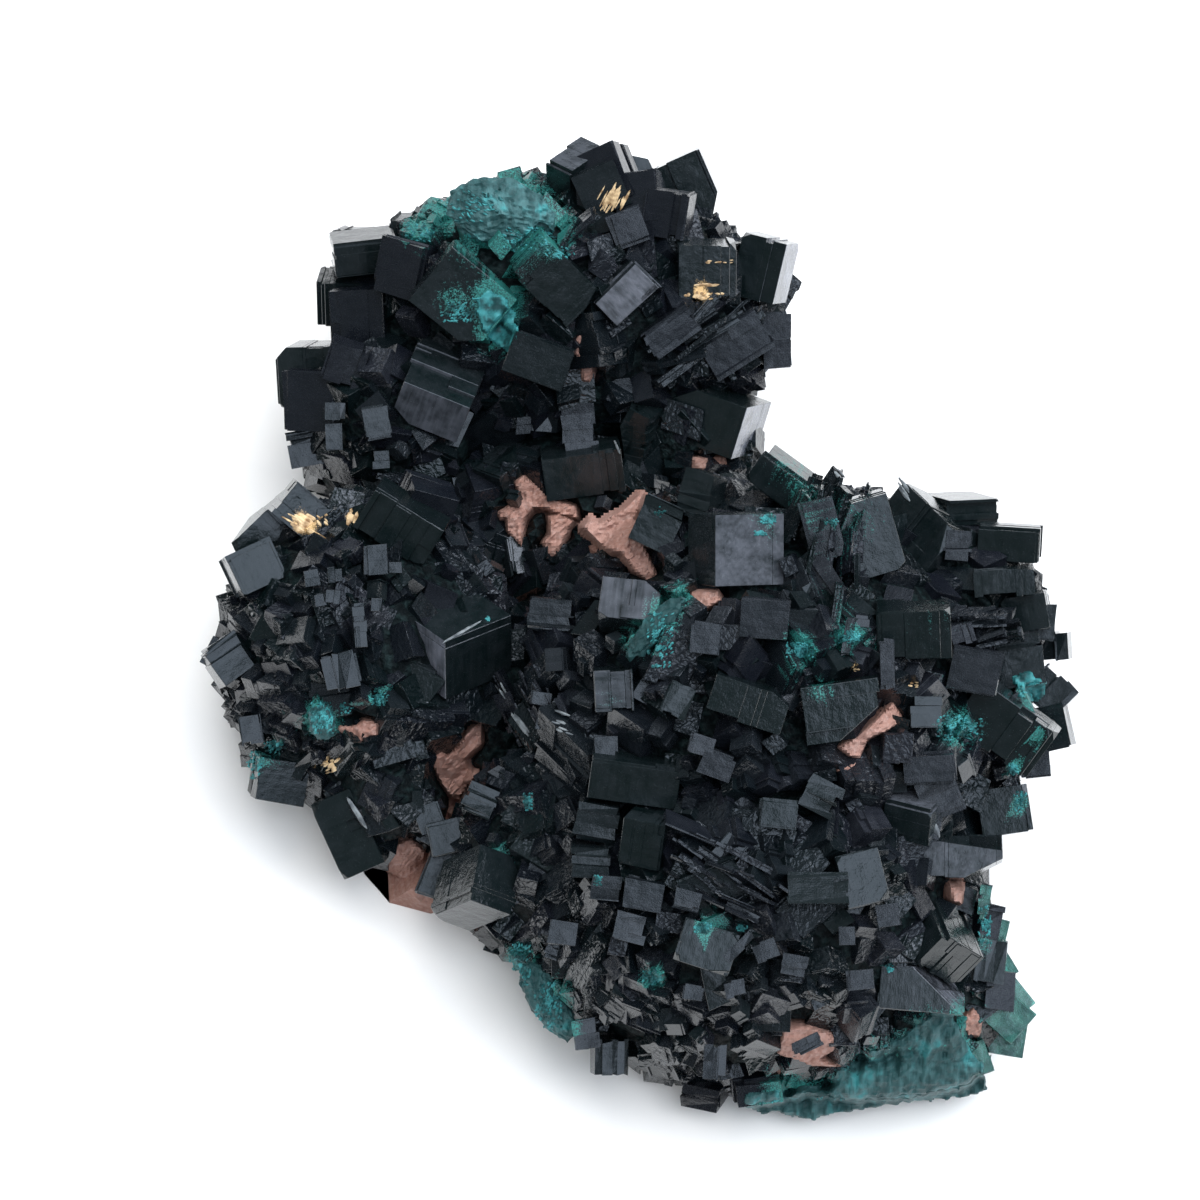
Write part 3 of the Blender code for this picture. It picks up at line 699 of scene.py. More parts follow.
def layered_blocks(rng, low, high, layers, step):
    """Extents of the layers of one crystal: plates across one axis, ending at different lengths,
    and a few blocks that fill some of the steps."""
    across = rng.randrange(3)
    reach = high[across] - low[across]
    cuts = [low[across], *sorted(low[across] + reach * rng.random() for _ in range(layers - 1))]
    blocks = []
    for near, far in zip(cuts, [*cuts[1:], high[across]]):
        first = [low[i] + step * 2 * rng.random() ** 3 for i in range(3)]
        second = [high[i] - step * 2 * rng.random() ** 3 for i in range(3)]
        first[across] = near - 0.03
        second[across] = max(far, near + 0.1)
        blocks.append((first, second))
    for _ in range(layers // 3):
        first, second = [], []
        for i in range(3):
            share = rng.uniform(0.35, 1.0)
            start = rng.choice((0.0, 1.0 - share))
            first.append(low[i] + (high[i] - low[i]) * start + step * 0.5 * rng.random())
            second.append(low[i] + (high[i] - low[i]) * (start + share) - step * 0.5 * rng.random())
        blocks.append((first, second))
    return blocks


def crystal_frame(form):
    """Axes, middle, extent and oblique cut planes of a block-shaped crystal."""
    bmesh.ops.dissolve_limit(form, angle_limit=0.01, verts=form.verts, edges=form.edges)
    form.normal_update()
    # The axes follow the largest face and, of the five largest, the one squarest to it.
    faces = sorted(form.faces, key=lambda face: -face.calc_area())[:5]
    first = faces[0].normal.copy()
    second = min((face.normal for face in faces), key=lambda normal: abs(normal.dot(first)))
    third = first.cross(second).normalized()
    second = third.cross(first)
    axes = Matrix((first, second, third)).transposed()
    middle = sum((vert.co for vert in form.verts), Vector()) / len(form.verts)
    local = [axes.transposed() @ (vert.co - middle) for vert in form.verts]
    low = [min(point[i] for point in local) for i in range(3)]
    high = [max(point[i] for point in local) for i in range(3)]
    planes = []
    for face in form.faces:
        along = axes.transposed() @ face.normal
        if max(abs(value) for value in along) < 0.99:
            planes.append((face.calc_center_median(), face.normal.copy()))
    return axes, middle, low, high, planes


# Grey haze of the crystals whose faces are painted dull grey, in part painted light on faces that
# catch it; the others get a little at random.
LARGE_HAZE_AND_LIGHT = {
    "square_blue_grey_crystal": 1.0,
    "left_lobe_grey_face_crystal": 0.5,
    "valley_pale_crystal": 1.0,
    "foot_grey_slab": 0.8,
    "crown_grey_slab": 0.7,
    "crown_bright_crystal": 0.9,
    "valley_black_crystal": 0.1,
    "right_low_slab": 0.9,
}

# Crystals with plain faces, without growth layers that show.
CLEAN_CRYSTALS = ("left_lobe_grey_face_crystal", "valley_black_crystal", "square_blue_grey_crystal")

# Longest edges of a crystal's mesh: where a coating or a stain marks it, and elsewhere.
MARKED_GRAIN, PLAIN_GRAIN = 1.1, 100.0


def coating_grain(points):
    """Longest edge of a crystal's mesh at each point."""
    xs, ys, depth = on_sheet(points)
    marked = spot_strength(xs, ys, TEAL_SPOTS) + spot_strength(xs, ys, GOLD_SPOTS) > 0
    return np.where(marked & (depth < surface_depth(xs, ys) + 2), MARKED_GRAIN, PLAIN_GRAIN)


# Corners cut off a crystal, how deep for each millimetre of its shortest side, how many layers it
# has, how unevenly they end in millimetres, and the same number and ends for a clean crystal.
CORNERS, CORNER_DEPTH = 5, (0.04, 0.13)
LAYERS, UNEVEN_ENDS = (4, 7), 0.25
CLEAN_LAYERS, CLEAN_ENDS = 2, 0.08

large_boxes = {}
rng = random.Random(5)
for node in sorted(frame["nodes"]):
    if node.startswith(("matrix", "druse", "crust_")):
        continue
    solid = node_form(node)
    axes, middle, low, high, planes = crystal_frame(solid)
    solid.free()
    large_boxes[node] = (axes, middle, low, high)
    clean = node in CLEAN_CRYSTALS
    layers = CLEAN_LAYERS if clean else rng.randint(*LAYERS)
    for _ in range(1 if clean else CORNERS):
        corner = [rng.choice((low, high))[i] for i in range(3)]
        signs = [1 if corner[i] == high[i] else -1 for i in range(3)]
        outward = Vector([sign * rng.uniform(0.25, 1.0) for sign in signs]).normalized()
        depth = rng.uniform(*CORNER_DEPTH) * min(high[i] - low[i] for i in range(3))
        planes.append((middle + axes @ (Vector(corner) - outward * depth), axes @ outward))
    grown = bmesh.new()
    grown.verts.layers.int.new("crystal")
    ends = CLEAN_ENDS if clean else UNEVEN_ENDS
    for first, second in layered_blocks(rng, low, high, layers, ends):
        add_block(grown, first, second, axes, middle, 0, planes)
    split_long_edges(grown, coating_grain)
    finish = green_dioptase if node == "foot_green_tip" else dioptase
    piece = finished_piece(node + "_grown", grown, finish, "dioptase", node)
    # The haze of a named crystal is in part painted light on its faces.
    haze_and_painted_light = LARGE_HAZE_AND_LIGHT.get(node, rng.uniform(0.1, 0.6))
    mark_crystals(piece, [(middle, axes, haze_and_painted_light, 0.0 if clean else rng.uniform(0.0, 0.5))])

# ---------------------------------------------------------------------------------------------
# The druse: thousands of small dioptase crystals grown into one another over the rock. The
# larger ones of the display side are placed one by one, and the rest follow the tilt of their
# neighbours, as crystals of one growth do.

# Middle of the front face on the sheet, width, height, depth, haze with painted light, and the
# spin, turn and nod in degrees, of which the last ones are left out where they are 0.
PLACED_CRYSTALS = [
    (678, 700, 27, 34, 40, 0.4, -22), (657, 525, 42, 48, 45, 0.2, -25),
    (694, 495, 34, 46, 45, 0.5, -18, -20, 5), (821, 796, 37, 34, 40, 0.6, -28),
    (817, 887, 60, 32, 50, 0.4, 0, 0, -8), (777, 814, 38, 30, 40, 0.1, -6),
    (927, 712, 33, 31, 35, 0.3, 0, 8), (987, 962, 38, 46, 45, 0.3, -6),
    (1050, 646, 36, 30, 45, 0.2, 3, -5), (1049, 693, 42, 42, 40, 0.3, 45),
    (1020, 662, 46, 50, 45, 0.2, 8), (1014, 716, 42, 46, 40, 0.3, 28),
    (1034, 622, 40, 36, 40, 0.2, -4), (1048, 728, 36, 44, 40, 0.2, 12, -10),
    (440, 874, 36, 50, 40, 0.0, -20), (446, 838, 34, 34, 36, 0.0, 12),
    (480, 800, 34, 30, 36, 0.1, -24), (430, 818, 26, 28, 30, 0.1, 20),
    (597, 823, 42, 38, 50, 0.4, -10, 0, 10), (590, 862, 39, 30, 45, 0.4, -3, 0, 6),
    (612, 1058, 33, 36, 40, 0.5, 0, 8, 8), (283, 782, 52, 44, 50, 0.3, -10, 12, 10),
    (230, 657, 38, 42, 45, 0.6, 35, 10), (600, 189, 46, 46, 50, 0.4, 25, -8, 5),
    (540, 362, 62, 44, 50, 0.1, -20, 0, 8), (335, 411, 20, 18, 20, 0.7, 0),
    (334, 437, 16, 26, 20, 0.6, 0), (381, 459, 18, 18, 20, 0.6, 5),
    (376, 422, 26, 34, 30, 0.6, 10), (312, 578, 16, 16, 16, 1.0, 10),
    (335, 575, 14, 16, 16, 0.9, 4), (333, 597, 14, 14, 14, 1.0, -5),
    (320, 600, 12, 12, 12, 1.0, 12), (376, 560, 24, 30, 26, 0.5, 5),
    (395, 567, 14, 12, 12, 0.6, 0), (361, 625, 14, 44, 20, 1.0, 5, 10),
    (377, 605, 11, 14, 12, 1.0, 0), (342, 671, 36, 38, 32, 0.5, 15),
    (218, 657, 28, 34, 30, 0.9, -30), (251, 730, 22, 30, 26, 0.5, 12),
    (305, 448, 34, 36, 32, 0.3, 10), (554, 660, 20, 24, 22, 1.0, 4, -18),
    (551, 615, 46, 30, 32, 0.5, -5, 0, 6), (541, 698, 22, 14, 18, 1.0, -10),
    (545, 725, 18, 12, 16, 1.0, -14), (606, 748, 24, 24, 22, 0.8, 0),
    (631, 928, 34, 28, 30, 0.9, -15), (563, 933, 28, 24, 24, 0.7, -8),
    (606, 888, 30, 24, 26, 0.5, -6, 0, 4), (643, 897, 40, 32, 34, 0.5, -10, 0, 6),
    (687, 900, 26, 20, 24, 0.5, -14), (740, 948, 36, 14, 20, 0.7, 45),
    (766, 950, 24, 20, 20, 0.9, 20), (795, 965, 26, 20, 20, 0.8, -10),
    (735, 989, 20, 18, 18, 0.9, 10), (694, 992, 22, 16, 16, 0.9, -8),
    (847, 935, 16, 20, 16, 0.9, 0), (860, 980, 26, 20, 20, 1.0, 5),
    (888, 915, 24, 22, 20, 0.6, 8), (807, 1044, 30, 14, 16, 0.5, 25),
    (715, 1062, 22, 36, 24, 0.4, -4), (586, 1033, 26, 30, 24, 0.8, 8),
    (1035, 765, 30, 25, 26, 0.3, 6), (957, 545, 30, 30, 26, 0.4, -4),
    (822, 530, 35, 60, 34, 0.3, 12), (765, 620, 48, 40, 36, 0.3, -4, 0, 6),
    (706, 638, 30, 32, 28, 0.3, -6), (975, 672, 50, 45, 40, 0.3, -10, 0, 6),
    (702, 745, 26, 20, 22, 0.8, -16), (717, 765, 34, 26, 28, 0.5, -20, 0, 4),
    (887, 665, 15, 50, 24, 0.8, 3), (930, 770, 50, 30, 34, 0.4, 4, 0, 6),
    (940, 797, 40, 40, 32, 1.0, 20), (935, 828, 11, 26, 14, 1.0, -6),
    (672, 332, 55, 30, 34, 0.4, 35, 0, 8), (735, 345, 70, 45, 44, 0.4, 32, 0, 8),
    (628, 228, 36, 36, 34, 0.7, 20), (776, 340, 30, 56, 34, 0.8, 4),
    (580, 428, 34, 50, 34, 0.3, 4), (356, 256, 46, 50, 44, 0.0, 0, -16, 6),
    (356, 320, 56, 60, 50, 0.0, 3, -16, 6), (398, 268, 50, 56, 46, 0.0, -12, -24, 6),
    (309, 402, 56, 60, 46, 0.0, 0, -15, 6), (597, 180, 60, 62, 50, 0.0, 22, -18, -14),
    (636, 196, 44, 50, 44, 0.0, 4, -14, -8), (664, 215, 44, 46, 44, 0.1, -8, -12, 6),
    (430, 510, 50, 36, 44, 0.0, -24, 20, 24), (345, 365, 40, 40, 40, 0.2, -18, 0, 10),
    (1002, 990, 34, 40, 40, 0.1, -6, 22), (992, 925, 22, 40, 36, 0.0, -12, 24),
    (760, 1095, 46, 26, 40, 0.0, 4, 10, 24), (700, 1098, 40, 24, 36, 0.0, -6, -14, 24),
]

# Random crystals: how many of each band, and their least and greatest edge in millimetres; the
# share of an edge that two of them stand apart; and how often their tilt is off, and how far.
RANDOM_CRYSTALS = ((640, 3.6, 6.8), (900, 2.2, 3.8), (600, 1.1, 2.2))
APART = 0.6
STRAYS, STRAY_TILT, USUAL_TILT = 0.1, 0.6, 0.07

# The plain ones under them: how many, their half-edges, and how far they stay from a window.
BED_CRYSTALS = 1500
BED_HALF_EDGES = (1.0, 2.2)
BED_MARGIN = 9

# Patches of the display side where the small crystals stand corner up, so that none of their
# faces mirrors the light: middle on the sheet and half-sizes.
CORNER_UP_PATCHES = [
    (290, 650, 110, 130), (400, 470, 110, 60), (350, 340, 90, 70), (725, 750, 100, 46),
    (585, 655, 60, 60), (470, 720, 50, 60), (640, 1010, 120, 60), (510, 890, 50, 60),
    (870, 860, 50, 60), (640, 400, 90, 60), (500, 470, 60, 30), (560, 590, 60, 50),
    (840, 640, 50, 40), (900, 930, 60, 40), (450, 400, 60, 60),
]

# Stacks of thin plates: middle on the sheet, spread along and across the stack, angle, number,
# and the length and thickness of a plate.
PLATE_STACKS = [
    (860, 525, 40, 54, 78, 34, 66, 7.0), (815, 500, 34, 36, 62, 22, 56, 7.0),
    (895, 640, 24, 40, 84, 10, 44, 8.0), (690, 330, 60, 40, 30, 16, 56, 7.0),
    (640, 430, 50, 22, 24, 10, 52, 6.0), (550, 270, 40, 40, 48, 12, 54, 6.0),
    (985, 620, 40, 30, 8, 14, 54, 7.0), (400, 520, 40, 30, -20, 10, 54, 7.0),
    (730, 876, 60, 30, -28, 20, 50, 6.0), (520, 700, 30, 40, -62, 14, 40, 6.0),
]
PLATE_DEPTH = 26


def view_axes(direction):
    """Right, up and towards-the-viewer axes at one line of sight."""
    back = -direction.normalized()
    right = (VIEW_RIGHT - back * VIEW_RIGHT.dot(back)).normalized()
    return right, back.cross(right), back


# How far in front of the lobes' surface the face of a placed crystal stands.
PLACED_RISE = 1.2


def placed_box(x, y, width, height, depth, spin, turn=0, nod=0, rise=PLACED_RISE):
    """Axes, middle and half-sizes of a crystal given by its front face on the sheet."""
    direction = sheet_direction(x, y)
    level = float(surface_depth(x, y)) - rise
    right, up, back = view_axes(direction)
    axes = Matrix((right, up, back)).transposed()
    axes = axes @ Matrix.Rotation(math.radians(spin), 3, "Z")
    axes = axes @ Matrix.Rotation(math.radians(nod), 3, "X")
    axes = axes @ Matrix.Rotation(math.radians(turn), 3, "Y")
    unit = 0.1 * level / VIEW_DISTANCE
    half = Vector((width, height, depth)) * unit / 2
    front = VIEWPOINT + direction * level
    return axes, front - axes.col[2] * half.z, half


# Axes, middle, half-sizes and haze with painted light of each crystal; the large ones, made
# already, have none.
crystals = [(*placed_box(*row[:5], *row[6:]), row[5]) for row in PLACED_CRYSTALS]
for axes, middle, low, high in large_boxes.values():
    half = Vector([(high[i] - low[i]) / 2 for i in range(3)])
    centre = middle + axes @ Vector([(high[i] + low[i]) / 2 for i in range(3)])
    crystals.append((axes, centre, half, None))


def bends_in(first, second, third):
    """Whether the way over three points of the sheet bends to the side that a hull may not."""
    (x1, y1), (x2, y2), (x3, y3) = first, second, third
    return (x2 - x1) * (y3 - y1) <= (y2 - y1) * (x3 - x1)


def sheet_hull(axes, middle, half):
    """Outline on the sheet of a box, and its least depth."""
    corners = [
        middle + axes @ Vector((half.x * i, half.y * j, half.z * k))
        for i in (-1, 1) for j in (-1, 1) for k in (-1, 1)
    ]
    xs, ys, depths = on_sheet([tuple(corner) for corner in corners])
    flat = sorted(zip(xs.tolist(), ys.tolist()))
    hull = []
    for points in (flat, flat[::-1]):
        side = []
        for point in points:
            while len(side) > 1 and bends_in(*side[-2:], point):
                side.pop()
            side.append(point)
        hull += side[:-1]
    return hull, float(depths.min())


# Outlines and least depths of the placed crystals, and outlines of the large ones. Plates may
# grow over the large crystals of the fan and of the parallel growth, which are made of plates.
placed_hulls = [sheet_hull(axes, middle, half) for axes, middle, half, _ in crystals]
large_outlines = [outline for outline, _ in placed_hulls[len(PLACED_CRYSTALS):]]
placed_hulls = placed_hulls[:len(PLACED_CRYSTALS)]
plate_free_outlines = [
    outline for outline, node in zip(large_outlines, large_boxes)
    if "fan" not in node and "parallel" not in node
]
windows = list(WINDOWS.values())


def near_outline(xs, ys, outline, margin):
    """Which points of the sheet lie inside an outline, or within a margin of it."""
    xs, ys, margin = np.broadcast_arrays(np.atleast_1d(xs), ys, margin)
    (left, top), (right, bottom) = np.min(outline, axis=0), np.max(outline, axis=0)
    near = (xs > left - margin) & (xs < right + margin)
    near &= (ys > top - margin) & (ys < bottom + margin)
    near[near] = outline_distance(xs[near], ys[near], outline) < margin[near]
    return near


def near_any(xs, ys, outlines, margin):
    """Which points of the sheet lie inside one of some outlines, or within a margin of one."""
    return np.any([near_outline(xs, ys, outline, margin) for outline in outlines], axis=0)


plates = random.Random(9)
for x, y, along, across, angle, count, length, thick in PLATE_STACKS:
    axis = math.radians(-angle)
    for _ in range(count):
        far, side = plates.gauss(0, 0.5) * along, plates.gauss(0, 0.5) * across
        place = (
            x + far * math.cos(axis) - side * math.sin(axis),
            y + far * math.sin(axis) + side * math.cos(axis),
        )
        reach = 0.45 * length
        top = place[0] + reach * math.cos(axis), place[1] - reach * abs(math.sin(axis))
        off_lobe = not math.isfinite(lobe_depths(*place)[0] + lobe_depths(*top)[0])
        if off_lobe or near_any(*place, windows, 8) or near_any(*place, plate_free_outlines, 4):
            continue
        size = length * plates.uniform(0.5, 1.2), thick * plates.uniform(0.4, 1.3), PLATE_DEPTH
        lean = angle + plates.gauss(0, 7), plates.gauss(0, 10), plates.gauss(0, 13)
        axes, middle, half = placed_box(*place, *size, *lean, rise=plates.uniform(0.0, 1.1))
        crystals.append((axes, middle, half, plates.random()))

lobe_middles = np.array([middle for middle, _ in LOBES.values()], float)
lobe_halves = np.array([half for _, half in LOBES.values()], float)


def outer_points(dice, count, share=1.0):
    """Random points of the specimen's outer surface over the table, and the outward directions
    there. The share shrinks the lobes."""
    x, y, z = lobe_halves.T
    areas = x * y + z * (x + y)
    pick = dice.choice(len(areas), count, p=areas / areas.sum())
    unit = dice.normal(size=(count, 3))
    unit /= np.linalg.norm(unit, axis=1)[:, None]
    outward = unit / lobe_halves[pick]
    keep = dice.random(count) < np.linalg.norm(outward, axis=1) * lobe_halves[pick].min(1)
    points = lobe_middles[pick] + lobe_halves[pick] * unit * share
    keep &= points[:, 2] > 1.0
    for index in range(len(areas)):
        reach = (points - lobe_middles[index]) / (lobe_halves[index] * share)
        keep &= (pick == index) | ((reach ** 2).sum(1) > 0.96)
    outward /= np.linalg.norm(outward, axis=1)[:, None]
    return points[keep], outward[keep]


# How far the tips of small crystals stay from windows, large crystals and placed ones, and their
# buried middles from large crystals, in units of the sheet for each millimetre of their edge.
WINDOW_MARGIN, LARGE_MARGIN, PLACED_MARGIN, BURIED_MARGIN = 2.6, 3.5, 2.0, 3.6


def open_places(points, outward, edges):
    """Which small crystals would neither fill a window nor stand in front of a placed crystal."""
    xs, ys, depth = on_sheet(points)
    facing = ((np.array(VIEWPOINT) - points) * outward).sum(1) > 0
    blocked = near_any(xs, ys, windows, edges * WINDOW_MARGIN)
    blocked |= near_any(xs, ys, large_outlines, edges * LARGE_MARGIN)
    for outline, nearest in placed_hulls:
        blocked |= near_outline(xs, ys, outline, edges * PLACED_MARGIN) & (depth < nearest + 5)
    return ~(blocked & facing)


def axes_along(direction):
    """Axes whose third lies along a direction."""
    return Vector(direction).to_track_quat("Z", "Y").to_matrix()


def turned(dice, spread):
    """Small random rotation with this spread in radians."""
    turns = [Matrix.Rotation(dice.normal(0, spread), 3, axis) for axis in "XYZ"]
    return turns[0] @ turns[1] @ turns[2]


# The crystals whose tilt the small ones follow: those that are neither thin plates nor tiny, and
# some at random round the specimen.
dice = np.random.default_rng(23)
seeds = [
    (middle, axes) for axes, middle, half, _ in crystals
    if max(half) < 8 * min(half) and max(half) > 1.8
]
corner_up = Vector((1, 1, 1)).rotation_difference(Vector((0, 0, 1))).to_matrix()
for tip, outward in zip(*outer_points(dice, 170)):
    axes = axes_along(outward)
    axes = axes @ Matrix.Rotation(dice.uniform(0, 6.3), 3, "Z") @ turned(dice, 0.35)
    seeds.append((Vector(tip), axes @ corner_up if dice.random() < 0.5 else axes))
seed_places = np.array([tuple(middle) for middle, _ in seeds])

# Tips of the random crystals so far, by the cell of this size that they stand in.
CELL = 2
taken = {}


def crowded(point, reach):
    """Whether another random crystal already stands within reach of a point."""
    spans = [
        range(int((value - reach) // CELL), int((value + reach) // CELL) + 1) for value in point
    ]
    near = (other for cell in itertools.product(*spans) for other in taken.get(cell, ()))
    return any((other - point).length < reach for other in near)


# Patches where only short edges grow: left of x and below y on the sheet, and the longest edge.
SHORT_EDGES = ((1200, 925, 3.2), (420, 520, 4.6))

# Random places tried for each crystal that is wanted.
TRIES = 14
for wanted, least, most in RANDOM_CRYSTALS:
    made = 0
    points, outwards = outer_points(dice, wanted * TRIES)
    edges = dice.uniform(least, most, len(points))
    free = open_places(points, outwards, edges)
    xs, ys, depths = on_sheet((points - outwards * edges[:, None] * 0.75)[free])
    seen = depths < surface_depth(xs, ys) + 6
    free[free] = ~(seen & near_any(xs, ys, large_outlines, edges[free] * BURIED_MARGIN))
    for tip, outward, edge in zip(points[free], outwards[free], edges[free]):
        tip, outward = Vector(tip), Vector(outward)
        if made == wanted:
            break
        if crowded(tip, edge * APART):
            continue
        order = np.argsort(((seed_places - np.array(tip)) ** 2).sum(1))[:3]
        axes = seeds[order[min(int(dice.exponential(0.3)), 2)]][1]
        x, y, _ = on_sheet(tip)
        if any(x < right and y > top and edge > longest for right, top, longest in SHORT_EDGES):
            continue
        patches = [math.hypot((x - a) / c, (y - b) / d) for a, b, c, d in CORNER_UP_PATCHES]
        upright = min(patches) < dice.uniform(0.6, 1.3) or dice.random() < 0.6
        if upright and outward.dot(VIEW_BACK) > -0.2:
            spin = 2.4 * patches.index(min(patches)) + int(x / 70) * 0.5 + int(y / 70) * 0.3
            axes = axes_along(VIEW_BACK) @ Matrix.Rotation(spin, 3, "Z") @ corner_up
        axes = axes @ turned(dice, STRAY_TILT if dice.random() < STRAYS else USUAL_TILT)
        half = Vector([edge * dice.uniform(0.38, 0.66) for _ in range(3)])
        # Those that are seen on the specimen's outline are sunk deeper.
        sink = dice.uniform(0.55, 1.0) * edge
        if abs(outward.dot((VIEWPOINT - tip).normalized())) < 0.35:
            sink += 0.25 * edge
        crystals.append((axes, tip - outward * sink, half, dice.random() ** 1.5))
        taken.setdefault(tuple(int(value // CELL) for value in tip), []).append(tip)
        made += 1

# Plain little crystals under the others, which fill the gaps between them.
first_bed = sum(haze_and_painted_light is not None for *_, haze_and_painted_light in crystals)
points, outwards = outer_points(dice, BED_CRYSTALS * 4, 0.92)
xs, ys, _ = on_sheet(points)
free = ~near_any(xs, ys, windows, BED_MARGIN)
for tip, outward in zip(points[free][:BED_CRYSTALS], outwards[free]):
    axes = axes_along(outward) @ turned(dice, 1.2)
    half = Vector([dice.uniform(*BED_HALF_EDGES) for _ in range(3)])
    crystals.append((axes, Vector(tip) - Vector(outward) * half.x, half, 0.0))

# Blocks of the crystals, by region of the specimen, with painted shade on the left lobe, where less
# light falls, and painted light at the right. The borders between the regions are in millimetres.
CROWN_FRONT_Y, CROWN_RIGHT_X, LEFT_LOBE_X, FOOT_Y = 17, 22, -9, -14
PLACED_SKEW, RANDOM_SKEW = 0.04, 0.22
rng = random.Random(31)
regions = {"crown": [], "left": [], "dome": [], "foot": []}
druse_places = []
for axes, middle, half, haze_and_painted_light in crystals:
    if haze_and_painted_light is None:
        continue
    number = len(druse_places)
    placed = number < len(PLACED_CRYSTALS)
    if middle.y > CROWN_FRONT_Y and middle.x < CROWN_RIGHT_X:
        region = "crown"
    elif middle.x < LEFT_LOBE_X:
        region = "left"
    else:
        region = "dome" if middle.y > FOOT_Y else "foot"
    # Less grey haze is painted shade on the left lobe; more is painted light at the right.
    if middle.x < LEFT_LOBE_X and middle.y < CROWN_FRONT_Y:
        haze_and_painted_light *= 0.5
    elif middle.x > CROWN_RIGHT_X:
        haze_and_painted_light = min(haze_and_painted_light * 1.6 + 0.15, 1.0)
    druse_places.append((middle, axes, haze_and_painted_light, 0.3 if placed else rng.uniform(0.3, 1.0)))
    size = max(half) * 2
    layers = 5 if size > 3.4 else 3 if size > 2.2 else 2
    blocks = [([-value for value in half], list(half))]
    if number < first_bed:
        blocks = layered_blocks(rng, *blocks[0], layers, min(0.25, 0.08 * size))
    uneven = PLACED_SKEW if placed else RANDOM_SKEW
    skew = Matrix.Identity(3)
    for i, j in ((0, 1), (0, 2), (1, 2)):
        skew[i][j] = rng.uniform(-uneven, uneven)
    for first, second in blocks:
        regions[region].append((axes @ skew, middle, first, second, number))

# Each region is built in batches of blocks, which takes far less time than in one go. The corners
# of a block are a little off square, and its edges are bevelled.
BATCH = 250
DRUSE_UNEVEN, DRUSE_EDGE = 0.02, 0.03
for region, blocks in regions.items():
    form = bmesh.new()
    form.verts.layers.int.new("crystal")
    for start in range(0, len(blocks), BATCH):
        batch = bmesh.new()
        numbers = batch.verts.layers.int.new("crystal")
        for axes, middle, first, second, number in blocks[start:start + BATCH]:
            fit = box_fit(axes, middle, first, second)
            for vert in bmesh.ops.create_cube(batch, size=1.0, matrix=fit)["verts"]:
                vert[numbers] = number
                off = Vector([rng.gauss(0, DRUSE_UNEVEN) for _ in range(3)])
                vert.co += fit.to_3x3() @ off
        bevel(batch, DRUSE_EDGE)
        join(form, batch)
    keep_above(form, 0.4)
    piece = finished_piece("druse_" + region, form, dioptase, "dioptase_druse", "druse")
    mark_crystals(piece, druse_places)

# Clear green crystals at the thin right-hand end of the foot, above and below the large tip.
GREEN_GROWTH = [
    (1004, 1034, 44, 42, 30, -10), (1012, 1000, 34, 34, 26, 38, 8), (994, 946, 20, 56, 22, -14),
    (984, 902, 12, 34, 16, -8), (1002, 966, 24, 26, 20, 30), (975, 1060, 30, 34, 24, 20),
]
growth = bmesh.new()
growth.verts.layers.int.new("crystal")
growth_places = []
for number, row in enumerate(GREEN_GROWTH):
    axes, middle, half = placed_box(*row)
    for first, second in layered_blocks(rng, list(-half), list(half), 4, 0.2):
        add_block(growth, first, second, axes, middle, number)
    growth_places.append((middle, axes, 0.1, 0.3))
piece = finished_piece("druse_green_ends", growth, green_dioptase, "dioptase_druse", "druse")
mark_crystals(piece, growth_places)

# The dark mass that the small crystals grow from, pushed in at the windows.
druse_bed, shader, wire = new_finish("druse_bed", {"Roughness": 0.65, "Specular IOR Level": 0.3})
crumbs = wire.speckle(wire.place(), 1300.0, 4.0)
tone = crumbs.band(0.4, 0.7).mix((0.001, 0.0025, 0.003, 1), (0.006, 0.014, 0.015, 1))
tone.feed(shader, "Base Color")
crumbs.emboss(shader, 1.0, 0.0006)

# How far behind the tips the mass is pushed at a window, and over which rim it slopes to there.
PUSHED_DEPTH, PUSHED_RIM = 9.5, 6
mass = bmesh.new()
for middle, half in LOBES.values():
    lobe = bmesh.new()
    bmesh.ops.create_icosphere(lobe, subdivisions=5, radius=1.0)
    for vert in lobe.verts:
        swell = 0.88 + 0.03 * noise.noise(vert.co * 9) + 0.02 * noise.noise(vert.co * 27)
        vert.co = Vector([middle[i] + vert.co[i] * half[i] * swell for i in range(3)])
    join(mass, lobe)
xs, ys, depth = on_sheet([tuple(vert.co) for vert in mass.verts])
gaps = np.min([outline_distance(xs, ys, outline) for outline in windows], axis=0)
for vert, gap, back in zip(mass.verts, gaps, depth - surface_depth(xs, ys)):
    if gap < PUSHED_RIM and back < 9:
        share = min((PUSHED_RIM - gap) / PUSHED_RIM, 1)
        vert.co -= VIEW_BACK * share * (PUSHED_DEPTH - back)
keep_above(mass, 0.5)
finished_piece("druse_mass", mass, druse_bed, "dioptase_druse", "druse")

# ---------------------------------------------------------------------------------------------
# The chrysocolla crusts: crumbly blue-green fibres over the crystals of the crown, in the
# valley, on the left lobe and along the lower edges.
chrysocolla, shader, wire = new_finish("chrysocolla", {"Roughness": 0.6})
place = wire.place()
stretched = wire.node(
    "ShaderNodeMapping", None, {"Vector": place, "Rotation": (0, 0, 0.7), "Scale": (1.0, 0.3, 0.5)}
)
streaks = wire.speckle(stretched, 1500.0, 4.0)
blotches = wire.speckle(place, 350.0, 3.0)
tone = (streaks * 0.6 + blotches * 0.5).band(0.4, 0.75)
tone = tone.mix((0.014, 0.052, 0.056, 1), (0.066, 0.175, 0.186, 1))
tone = (blotches + streaks * 0.3).band(0.7, 0.9).mix(tone, (0.04, 0.28, 0.3, 1))
# The stored shade is painted shade, darkening the crust towards deep teal.
wire.stored("shade").mix(tone, (0.006, 0.028, 0.03, 1)).feed(shader, "Base Color")
streaks.emboss(shader, 0.8, 0.0003)
